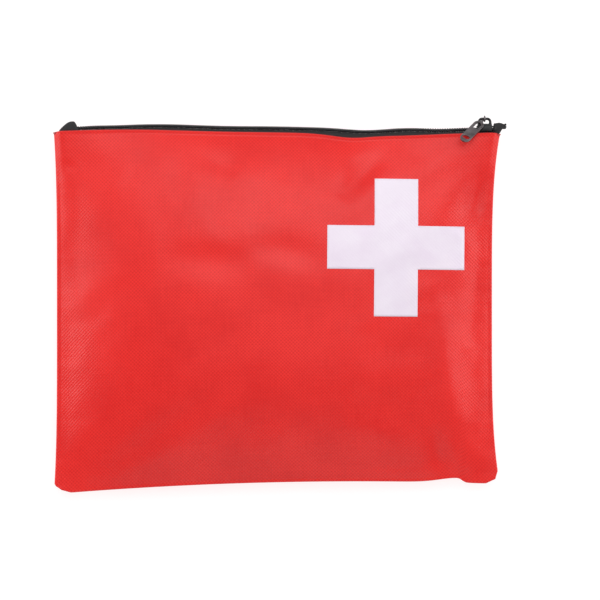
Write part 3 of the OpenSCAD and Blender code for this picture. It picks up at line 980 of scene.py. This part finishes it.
def zip_slider():
    """Body with a shield-shaped, crowned face, flanges, the inner plate and its wedge."""
    low, high = slider_low, slider_high
    middle = (low.x + high.x) / 2
    half = (high.x - low.x) / 2
    width = (high.z - low.z) / 2
    plate = 0.8 * MM
    top = high.y
    shield = []
    for s, w in [(-1, 0.72), (-0.86, 0.86), (-0.3, 0.92), (0.35, 1.0), (0.8, 0.98), (1.0, 0.66)]:
        shield.append((middle + s * half, w * width))
    outline = shield + [(x, -w) for x, w in reversed(shield)]
    face = prism(
        "face", [(x, SEAM_Z + w) for x, w in outline], top - plate, top - 0.12 * MM, 1, BLACK_METAL,
        0.28 * MM,
    )
    raised = prism(
        "raised", [(middle + (x - middle) * 0.66, SEAM_Z + w * 0.5) for x, w in outline],
        top - plate, top + CROWN, 1, BLACK_METAL, 0.3 * MM,
    )
    inner_w = 2.4 * MM
    inner = prism(
        "inner", [(x, SEAM_Z + w * inner_w / width) for x, w in outline],
        low.y, low.y + plate, 1, BLACK_METAL, 0.25 * MM,
    )
    parts = [face, raised, inner]
    for side in (-1, 1):
        lip_z = SEAM_Z + side * width
        edges = sorted([lip_z, lip_z - side * 0.7 * MM])
        parts.append(block(
            "flange", (low.x + 0.6 * MM, top - 2.9 * MM, edges[0]),
            (high.x - 0.8 * MM, top - 0.35 * MM, edges[1]), BLACK_METAL, 0.22 * MM,
        ))
    parts.append(block(
        "wedge", (high.x - 3.4 * MM, low.y + 0.4 * MM, SEAM_Z - 0.25 * MM),
        (high.x - 0.6 * MM, top - 0.4 * MM, SEAM_Z + 0.25 * MM), BLACK_METAL, 0.1 * MM,
    ))
    return join("slider_body", parts)


def bridge():
    """The arch, a round bar that widens into a foot at each end."""
    foot_y = bridge_low.y - 0.2 * MM
    radius = 0.7 * MM
    left, right = bridge_low.x + radius, bridge_high.x - radius
    bend = 1.6 * MM
    path = [(left, foot_y), (left, BAR.y - bend - 0.6 * MM)]
    turn = np.linspace(0, np.pi / 2, 9)
    path += [(left + bend - bend * math.cos(a), BAR.y - bend + bend * math.sin(a)) for a in turn]
    path += [(right - bend + bend * math.sin(a), BAR.y - bend + bend * math.cos(a)) for a in turn]
    path += [(right, BAR.y - bend - 0.6 * MM), (right, foot_y)]
    path = np.array([(x, y, SEAM_Z) for x, y in path])
    height = (path[:, 1] - foot_y) / (BAR.y - foot_y)
    radii = radius * (1 + 0.5 * np.exp(-height / 0.12))
    made = grid_object("bridge_arch", tube(path, radii, 14), BLACK_METAL, wrap=True)
    add_modifier(made, "SUBSURF", levels=1, render_levels=1)
    return applied(made)


def stadium(start, length, width, n=14):
    """Outline of a slot with round ends, its end centres at start and start + length."""
    r = width / 2
    turn = np.linspace(-np.pi / 2, np.pi / 2, n)
    far = [(start + length + r * math.cos(a), r * math.sin(a)) for a in turn]
    near = [(start - r * math.cos(a), -r * math.sin(a)) for a in turn]
    return far + near


def cut_plate(name, outlines, thickness, bevel, material):
    """A flat plate with holes, rounded edges, in its own plane; the first outline is the rim."""
    curve = bpy.data.curves.new(name, "CURVE")
    curve.dimensions = "2D"
    curve.fill_mode = "BOTH"
    curve.extrude = thickness / 2 - bevel
    curve.bevel_depth = bevel
    curve.bevel_resolution = 3
    curve.offset = -bevel
    for outline in outlines:
        spline = curve.splines.new("POLY")
        spline.points.add(len(outline) - 1)
        spline.points.foreach_set("co", [c for x, y in outline for c in (x, y, 0, 1)])
        spline.use_cyclic_u = True
    shape = placed(name, curve)
    mesh = bpy.data.meshes.new_from_object(evaluated(shape))
    bpy.data.objects.remove(shape)
    mesh.materials.clear()
    mesh.materials.append(material)
    return placed(name, mesh)


def pull_tab():
    """The tab, its neck and the ring that hangs it on the bridge's bar."""
    ring_r, wire = 1.3 * MM, 0.4 * MM
    head, length, width, thickness = 5.6 * MM, 20 * MM, 5.6 * MM, 1 * MM
    lean, turn = math.radians(41), math.radians(37)
    plate = cut_plate("pull_tab_metal", [
        stadium(head, length - width / 2 - head, width),
        stadium(head, 2 * MM, width - 2.6 * MM),
        [(length - width / 2 - 0.4 * MM + b, a) for a, b in stadium(-0.9 * MM, 1.8 * MM, 2.2 * MM)],
    ], thickness, 0.18 * MM, GUNMETAL)
    neck_path = [(ring_r, 0, 0), (2.2 * MM, 0, 0), (3.4 * MM, 0, 0)]
    neck = grid_object(
        "neck", tube(neck_path, [0.55 * MM, 0.62 * MM, 0.8 * MM], 12, 0.7), GUNMETAL, wrap=True
    )
    angle = np.linspace(0, 2 * np.pi, 33)
    circle = np.stack([0 * angle, ring_r * np.cos(angle), ring_r * np.sin(angle)], -1)
    ring = grid_object("ring", tube(circle, wire, 12), GUNMETAL, wrap=True)
    aim = Matrix.Rotation(math.pi / 2 + turn, 4, "Z")
    for piece in (plate, neck):
        piece.data.transform(aim)
    made = join("pull_tab_metal", [plate, neck, ring])
    made.data.transform(Matrix.Translation(BAR) @ Matrix.Rotation(math.pi - lean, 4, "X"))
    made.data.polygons.foreach_set("use_smooth", [True] * len(made.data.polygons))
    return made


def stops():
    """The two crimped top stops and the bottom stop."""
    low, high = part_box("zip_top_stops")
    parts = []
    for side in (-1, 1):
        z = sorted([SEAM_Z + side * 0.6 * MM, SEAM_Z + side * 2.55 * MM])
        parts.append(block(
            "stop", (low.x, low.y, z[0]), (high.x, high.y + 0.1 * MM, z[1]), BLACK_METAL, 0.3 * MM
        ))
    upper = join("top_stops_metal", parts)
    low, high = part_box("zip_bottom_stop")
    inset = Vector((0, 0, 0.5 * MM))
    lower = block("bottom_stop_metal", low + inset, high - inset, BLACK_METAL, 0.35 * MM)
    return upper, lower


# ---- Contents ----------------------------------------------------------------------------

def wound(name, middle, axis, radii, width, turns, material, ragged=0.3 * MM, seed=0.0):
    """A ribbon wound on itself: radii are the inner and outer ones, axis 0 is X and 2 is Z."""
    inner, outer = radii
    layer = (outer - inner) / turns
    t = np.linspace(0, 2 * np.pi * turns, int(48 * turns))
    w = np.linspace(-0.5, 0.5, 13)
    slip = ragged * ripple(t, 0 * t, 2.2, seed)
    loose = 0.22 * layer * ripple(2 * np.cos(t), 2 * np.sin(t) + t / 7, 1.1, seed + 4)
    radius = inner + (outer - inner) * t / t[-1] + loose - layer / 2
    across = w[None] * (width - 2 * ragged) + slip[:, None]
    a = np.repeat((radius * np.cos(t))[:, None], len(w), 1)
    b = np.repeat((radius * np.sin(t))[:, None], len(w), 1)
    spot = [across, a, b] if axis == 0 else [a, b, across]
    points = np.stack(spot, -1) + np.array(middle)
    made = grid_object(name, points, material)
    thicken(made, 0.72 * layer, offset=0)
    return made


def lathe(name, profile, middle, material, sides=64):
    """A closed profile of (radius, height) points turned about a vertical axis."""
    angle = np.linspace(0, 2 * np.pi, sides, endpoint=False)
    rows = [
        np.stack([r * np.cos(angle), r * np.sin(angle), 0 * angle + z], -1) for r, z in profile
    ]
    points = np.array(rows) + np.array(middle)
    n = len(profile)
    faces = [
        (i * sides + j, i * sides + (j + 1) % sides,
         (i + 1) % n * sides + (j + 1) % sides, (i + 1) % n * sides + j)
        for i in range(n)
        for j in range(sides)
    ]
    made = new_object(name, points.reshape(-1, 3), faces, material)
    round_edges(made, 0.25 * MM, 2)
    return applied(made)


def sealed_pack(name, low, high, material, rim=5 * MM, seed=1.0, crimp=0.12 * MM):
    """A flat packet: pillow-shaped, with a crimped seal all round and pinked short ends."""
    n, m = 72, 56
    us, vs = np.linspace(-1, 1, n), np.linspace(-1, 1, m)
    u, v = np.meshgrid(us, vs, indexing="ij")
    half = (high - low) / 2
    middle = (high + low) / 2
    inset = np.minimum((1 - np.abs(u)) * half.x, (1 - np.abs(v)) * half.y)
    full = smoothstep((inset - rim) / (1.7 * half.z + 2 * MM))
    tooth = 0.35 * MM * np.abs((vs * half.y / (1.6 * MM)) % 2 - 1)
    x = middle.x + u * (half.x - tooth[None] * np.abs(u) ** 30)
    y = middle.y + v * half.y
    edge = np.clip(1 - inset / rim, 0, 1)
    ridges = crimp * np.sin((x + y) / (0.5 * MM)) * (edge > 0.15) * (inset > 0)
    dents = 0.10 * half.z * ripple(x, y, 17 * MM, seed) * full
    skin = 0.18 * MM
    layers = []
    for side in (1, -1):
        rise = skin + (half.z - skin - 0.12 * half.z) * full + dents * (side > 0)
        rise = np.minimum(np.maximum(rise, skin), half.z - crimp)
        z = middle.z + side * rise + ridges
        layers.append(np.stack([x, y, np.clip(z, low.z, high.z)], -1))
    points = np.concatenate([layer.reshape(-1, 3) for layer in layers])
    size = n * m
    faces = grid_faces(n, m)
    faces += [tuple(c + size for c in f[::-1]) for f in grid_faces(n, m)]
    around = [i * m for i in range(n)] + [(n - 1) * m + j for j in range(1, m)]
    around += [i * m + m - 1 for i in range(n - 2, -1, -1)] + list(range(m - 2, 0, -1))
    faces += [(a, a + size, b + size, b) for a, b in zip(around, around[1:] + around[:1])]
    made = new_object(name, points, faces, material)
    face_outward(made)
    return made


def packets(name, node, count, material, rim):
    """Several sealed packs in a pile that fills the node's box."""
    low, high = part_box(node)
    step = (high.z - low.z) / count
    made = []
    for k in range(count):
        shift = Vector((0.5 * MM * (-1) ** k, 0.4 * MM * (-1) ** (k // 2), 0))
        bottom = Vector((low.x + 0.6 * MM, low.y + 0.6 * MM, low.z + k * step)) + shift
        top = Vector((high.x - 0.6 * MM, high.y - 0.6 * MM, low.z + (k + 0.96) * step)) + shift
        made.append(sealed_pack(name, bottom, top, material, rim, seed=3.0 + k, crimp=0.06 * MM))
    return join(name, made)


def zigzag(name, node, layers, material, thickness, waviness, seed=2.0):
    """A strip folded to and fro into this many layers, which fill the node's box."""
    low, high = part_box(node)
    low = low + Vector((0.5 * MM, 0.5 * MM, thickness / 2))
    high = high - Vector((0.5 * MM, 0.5 * MM, thickness / 2))
    pitch = (high.z - low.z) / (layers - 1)
    bend = pitch / 2
    path = []
    for k in range(layers):
        z = low.z + k * pitch
        run = np.linspace(low.y + bend, high.y - bend, 14)
        run = run if k % 2 == 0 else run[::-1]
        path += [(y, z) for y in run]
        if k < layers - 1:
            end, out = (high.y - bend, 1) if k % 2 == 0 else (low.y + bend, -1)
            turn = np.linspace(0, np.pi, 7)[1:-1]
            path += [(end + out * bend * math.sin(a), z + bend - bend * math.cos(a)) for a in turn]
    path = np.array(path)
    xs = np.linspace(low.x, high.x, 46)
    y = np.repeat(path[:, :1], len(xs), 1)
    z = np.repeat(path[:, 1:], len(xs), 1)
    x = np.repeat(xs[None], len(path), 0)
    z = z + waviness * ripple(x, y, 15 * MM, seed)
    z = np.clip(z, low.z, high.z)
    made = grid_object(name, np.stack([x, y, z], -1), material)
    thicken(made, thickness, offset=0)
    return made


def carton():
    """A cardboard wallet of plasters with a tucked flap, its faces slightly bowed."""
    low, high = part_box("plaster_pack")
    body = block("plaster_carton", low, high, CARD, 0.5 * MM)
    add_modifier(body, "SUBSURF", levels=3, render_levels=3, subdivision_type="SIMPLE")
    body = applied(body)
    for spot in body.data.vertices:
        u = (spot.co.x - low.x) / (high.x - low.x)
        v = (spot.co.y - low.y) / (high.y - low.y)
        bow = 0.5 * MM * math.sin(math.pi * u) * math.sin(math.pi * v)
        spot.co.z -= bow * (1 if spot.co.z > (low.z + high.z) / 2 else -1)
    flap = block(
        "flap", (high.x - 22 * MM, low.y + 1.2 * MM, high.z - 0.4 * MM),
        (high.x - 0.2 * MM, high.y - 1.2 * MM, high.z), CARD, 0.15 * MM,
    )
    return join("plaster_carton", [body, flap])


def tweezers():
    """Two sprung arms in one bowed strip, wide at the middle and fine at the tips."""
    low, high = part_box("tweezers")
    middle = (low.y + high.y) / 2
    length = high.x - low.x
    half = (high.y - low.y) / 2
    s = np.linspace(0, 1, 30)
    outer = 1.6 * MM + (half - 1.6 * MM) * np.sin(np.pi * np.clip(s / 0.94, 0, 1)) ** 1.3
    outer = np.maximum(outer * (1 - s**6) + 1.1 * MM * s**6, 0.9 * MM)
    wall = 1.35 * MM - 0.8 * MM * s
    start = 3                                       # the arms part after this point
    inner = outer - wall
    inner = np.maximum(inner, 0.35 * MM)[start + 1:]
    x = low.x + length * s
    free_x = x[start + 1:]
    outline = list(zip(x, middle + outer))
    outline += list(zip(free_x[::-1], middle + inner[::-1]))
    outline += [(x[start], middle)]
    outline += list(zip(free_x, middle - inner))
    outline += list(zip(x[::-1], middle - outer[::-1]))
    return prism("tweezers_steel", outline, low.z, high.z, 2, STEEL, 0.18 * MM)


def blade(half, side):
    """One scissor blade with its tang; side is 1 for the lower half and -1 for the upper."""
    low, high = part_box(f"scissor_blade_{half}")
    ring_low, ring_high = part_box(f"scissor_grip_{half}")
    pivot = Vector(joints["scissors_open"]["pos_m"])
    tip = high.x - pivot.x
    tang = ring_high.x - pivot.x - 1 * MM
    reach = abs((ring_high.y + ring_low.y) / 2 - pivot.y)
    s = np.linspace(0, 1, 16)
    bend = smoothstep(s)
    cut_x = 4 * MM + (tip - 4 * MM) * s
    back = zip(cut_x[::-1], (4.2 * MM - 3.2 * MM * s**1.6)[::-1])
    shank = zip(-5 * MM + (tang + 5 * MM) * s, 3.2 * MM + (reach - 3.2 * MM) * bend)
    under = zip(tang - (6 * MM + tang) * s, (reach - 3 * MM) * (1 - bend) - 1.5 * MM * s)
    edge = zip(cut_x, -3 * MM + 2.5 * MM * s**1.3)
    outline = [
        (pivot.x + a, pivot.y + side * b) for a, b in itertools.chain(back, shank, under, edge)
    ]
    return prism(f"scissor_steel_{half}", outline, low.z, high.z, 2, STEEL, 0.35 * MM)


def grip(half):
    """A moulded finger ring, oval in section, with a boss where the tang goes in."""
    low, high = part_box(f"scissor_grip_{half}")
    middle = (low + high) / 2
    radius = (high.y - low.y) / 2 - 1.2 * MM
    angle = np.linspace(0, 2 * np.pi, 65)
    path = np.stack([
        middle.x + radius * np.cos(angle), middle.y + radius * np.sin(angle), 0 * angle + middle.z
    ], -1)
    ring = grid_object(f"scissor_ring_{half}", tube(path, 1.2 * MM, 12, 0.54), GRIP, wrap=True)
    out = 1 if middle.y > joints["scissors_open"]["pos_m"][1] else -1
    boss_y = middle.y - 1.5 * out * MM
    boss = block(
        "boss", (high.x - 2.2 * MM, boss_y - 1.5 * MM, low.z),
        (high.x + 1.6 * MM, boss_y + 1.5 * MM, high.z), GRIP, 0.4 * MM,
    )
    return join(f"scissor_ring_{half}", [ring, boss])


def rivet():
    """A domed head on a straight shank."""
    low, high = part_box("scissor_rivet")
    middle = (low + high) / 2
    head = (high.x - low.x) / 2
    neck = high.z - 0.5 * MM
    profile = [(0.02 * MM, low.z), (1.7 * MM, low.z), (1.7 * MM, neck), (head, neck)]
    profile += [
        (head * math.cos(a) + 0.02 * MM, neck + 0.12 * MM + 0.38 * MM * math.sin(a))
        for a in np.linspace(0.1, np.pi / 2, 6)
    ]
    return lathe("rivet_steel", profile, (middle.x, middle.y, 0), STEEL, 40)


def spool():
    """The fixing tape's plastic core, a tube with a bead at each end."""
    low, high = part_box("tape_spool")
    middle = (low + high) / 2
    outer = (high.x - low.x) / 2
    skin, bore, bead = outer - 0.05 * MM, outer - 1.2 * MM, outer - 1.5 * MM
    profile = [
        (bead, low.z), (skin, low.z), (skin, high.z), (bead, high.z), (bead, high.z - 1 * MM),
        (bore, high.z - 1.5 * MM), (bore, low.z + 1.5 * MM), (bead, low.z + 1 * MM),
    ]
    return lathe("spool_core", profile, (middle.x, middle.y, 0), SPOOL)


def roll_of(node, name, material, turns, seed):
    """A rolled bandage that lies along X and fills the node's box."""
    low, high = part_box(node)
    radii = (2.2 * MM, (high.z - low.z) / 2 - 0.1 * MM)
    return wound(name, (low + high) / 2, 0, radii, high.x - low.x, turns, material, seed=seed)


def fixing_tape():
    """The tape wound on its spool, which stands upright."""
    low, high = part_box("fixing_tape")
    core_low, core_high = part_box("tape_spool")
    radii = ((core_high.x - core_low.x) / 2 + 0.5 * MM, (high.x - low.x) / 2 - 0.1 * MM)
    return wound(
        "fixing_tape_roll", (low + high) / 2, 2, radii, high.z - low.z, 14, TAPE_CLOTH,
        ragged=0.08 * MM, seed=6.0,
    )


# For each seam: u and v along it, from a value that runs from -1 to 1, and the way inward
SIDES = {
    "left": (lambda t: 0 * t - 1, lambda t: t, (1, 0, 0)),
    "right": (lambda t: 0 * t + 1, lambda t: t, (-1, 0, 0)),
    "bottom": (lambda t: t, lambda t: 0 * t - 1, (0, 1, 0)),
}


def binding(name, u_of, v_of, inward):
    """The seam's allowance and the tape folded over its raw edge, along one side."""
    t = np.linspace(-0.9, 0.9, 90)
    x, y = plan(u_of(t), v_of(t))
    edge = np.stack([x, y, 0 * x + SEAM_Z], -1)
    inward = np.array(inward)

    def strip(section, material, thickness, label):
        points = edge[:, None] + np.array([
            inward * a * MM + np.array([0, 0, b * MM]) for a, b in section
        ])[None]
        made = grid_object(label, points, material)
        set_cut(made, points[..., :2].reshape(-1, 2))
        thicken(made, thickness, offset=0)
        return applied(made)

    allowance = strip([(0.9, 0), (4, 0), (7, 0), (10.4, 0)], LINING, 0.3 * MM, "allowance")
    tape = strip(
        [(5, 0.33), (8, 0.33), (10.7, 0.33), (10.95, 0), (10.7, -0.33), (8, -0.33), (5, -0.33)],
        BINDING, 0.14 * MM, name,
    )
    return join(name, [tape, allowance])


def seam_stitches():
    """Lockstitches that hold the bindings, on three sides."""
    rows = []
    for u_of, v_of, inward in SIDES.values():
        t = np.linspace(-0.88, 0.88, 60)
        x, y = plan(u_of(t), v_of(t))
        line = np.stack([x, y, 0 * x + SEAM_Z + 0.52 * MM], -1) + np.array(inward) * 7.5 * MM
        rows.append(stitches("row", line, 2.6 * MM, 0.17 * MM, THREAD))
    return join("seam_stitches", rows)


def mouth_stitches():
    """The row that holds the zip's back hem."""
    xs = np.linspace(-HALF_W + 14 * MM, HALF_W - 14 * MM, 80)
    line = np.stack([
        xs, HALF_H - 3 * MM + mouth_wave(xs), 0 * xs + SEAM_Z - LIP + 1.0 * MM
    ], -1)
    return stitches("mouth_stitches", line, 2.4 * MM, 0.17 * MM, THREAD)


# ---- Build -------------------------------------------------------------------------------

wrinkles = [None, None]
cut_u, cut_v, fields = simulate_skin()
wrinkles = [(cut_u, cut_v, np.clip(f, -3 * MM, 3 * MM)) for f in fields]

front = panel("front_cloth", front_height, wrinkles[0], 1)
back = panel("back_cloth", back_height, wrinkles[1], -1)
emblem = cross(front)
front_tape = zip_tape("front_tape", 1)
front_coil = sewn_coil("front_coil", 1)
bending = [
    (front, "red_fabric", ("front_panel", "front_panel_mouth")),
    (emblem, "white_film", ("cross_emblem",)),
    (front_tape, "zip_tape", ("zip_tape_front", "zip_tape_front_ends")),
    (front_coil, "zip_coil", ("zip_coil_front", "zip_coil_front_ends")),
]
for piece, name, nodes in bending:
    follow_mouth(piece)
    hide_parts(*nodes)

top_stops, bottom_stop = stops()
fixed = [
    (back, "back_panel", "red_fabric"),
    (zip_tape("back_tape", -1), "zip_tape_back", "zip_tape"),
    (sewn_coil("back_coil", -1), "zip_coil_back", "zip_coil"),
    (frayed_end(), None, "zip_tape"),
    (mouth_stitches(), "zip_stitching", "thread"),
    (seam_stitches(), "seam_thread", "thread"),
    (top_stops, "zip_top_stops", "zip_metal"),
    (bottom_stop, "zip_bottom_stop", "zip_metal"),
    (roll_of("gauze_roll_lower", "gauze_coil_lower", GAUZE, 13, 1.0), "gauze_roll_lower", "gauze"),
    (roll_of("gauze_roll_upper", "gauze_coil_upper", GAUZE, 13, 5.0), "gauze_roll_upper", "gauze"),
    (roll_of("cohesive_roll", "cohesive_coil", COHESIVE, 10, 9.0), "cohesive_roll", "cohesive"),
    (spool(), "tape_spool", "spool"),
    (fixing_tape(), "fixing_tape", "fixing_tape"),
    (zigzag("blanket_fold", "rescue_blanket", 9, BLANKET, 0.45 * MM, 0.25 * MM), "rescue_blanket",
     "metal_film"),
    (zigzag("bandage_fold", "triangular_bandage", 7, CALICO, 0.7 * MM, 0.3 * MM, 6.0),
     "triangular_bandage", "white_cloth"),
    (packets("compress_sachets", "compress_packs", 3, PAPER, 6 * MM), "compress_packs",
     "white_paper"),
    (sealed_pack("glove_bag", *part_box("gloves_pack"), GLOVES, 4 * MM, 4.0), "gloves_pack",
     "glove_bag"),
    (carton(), "plaster_pack", "plaster_card"),
    (packets("wipe_foils", "wipe_sachets", 3, FOIL, 4 * MM), "wipe_sachets", "sachet_foil"),
    (tweezers(), "tweezers", "steel"),
    (zigzag("leaflet_fold", "leaflet", 3, LEAFLET, 0.16 * MM, 0.02 * MM, 8.0), "leaflet",
     "white_paper"),
    (blade("lower", 1), "scissor_blade_lower", "steel"),
    (grip("lower"), "scissor_grip_lower", "grip"),
    (rivet(), "scissor_rivet", "steel"),
]
for name, side in SIDES.items():
    fixed.append((binding(f"binding_{name}", *side), f"seam_binding_{name}", "binding"))
moving = [
    ("slider", zip_slider(), "zip_slider", "zip_metal"),
    ("slider", bridge(), "slider_bridge", "zip_metal"),
    ("tab", pull_tab(), "pull_tab", "zip_metal"),
    ("scissors_upper_half", blade("upper", -1), "scissor_blade_upper", "steel"),
    ("scissors_upper_half", grip("upper"), "scissor_grip_upper", "grip"),
]
for body, piece, node, name in [(ROOT, *row) for row in fixed] + moving:
    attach(piece, body)
    if node:
        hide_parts(node)


# ---- Stage -------------------------------------------------------------------------------

def area_light(name, place, aim, size, power):
    """A rectangular softbox in watts that looks from place to aim."""
    light = bpy.data.lights.new(name, "AREA")
    light.shape = "RECTANGLE"
    light.size, light.size_y = size
    light.energy = power
    made = placed(name, light)
    made.location = place
    made.rotation_euler = (Vector(aim) - Vector(place)).to_track_quat("-Z", "Y").to_euler()
    return made


def white_floor():
    """A wide pale floor that glows a little, so that it stays clean of red light."""
    paint = Paint("floor_white", 0.9)
    grain = paint.noise(paint.place(), 40, 3)
    paint.set(Base_Color=paint.blend(grain, rgb(0.30, 0.30, 0.30), rgb(0.34, 0.34, 0.34)))
    paint.set(Emission_Color=rgb(1, 1, 1), Emission_Strength=0.8)
    half = 3.0
    points = [(-half, -half, -0.3 * MM), (half, -half, -0.3 * MM), (half, half, -0.3 * MM),
              (-half, half, -0.3 * MM)]
    floor = new_object("floor", points, [(0, 1, 2, 3)], paint.material, smooth=False)


def camera():
    """Straight above the pouch."""
    data = bpy.data.cameras.new("camera")
    data.lens = 200
    data.sensor_width = 36
    made = placed("camera", data)
    made.location = (12 * MM, 5 * MM, SEAM_Z + 1.733)
    bpy.context.scene.camera = made


white_floor()
camera()
area_light("top_softbox", (0.2, 0.95, 1.75), (0, 0.02, 0), (2.1, 1.5), 20)
area_light("left_softbox", (-1.6, 0.3, 0.5), (0, 0, 0), (1, 0.7), 9)
area_light("right_softbox", (1.6, 0.3, 0.5), (0, 0, 0), (1, 0.7), 7)
area_light("bottom_fill", (0.1, -1.4, 0.9), (0, 0, 0), (1, 1), 3)
world = bpy.data.worlds.new("studio")
world.use_nodes = True
sky = world.node_tree.nodes["Background"].inputs
sky["Color"].default_value = rgb(1, 1, 1)
sky["Strength"].default_value = 0.36
scene = bpy.context.scene
scene.world = world
scene.view_settings.view_transform = "Standard"
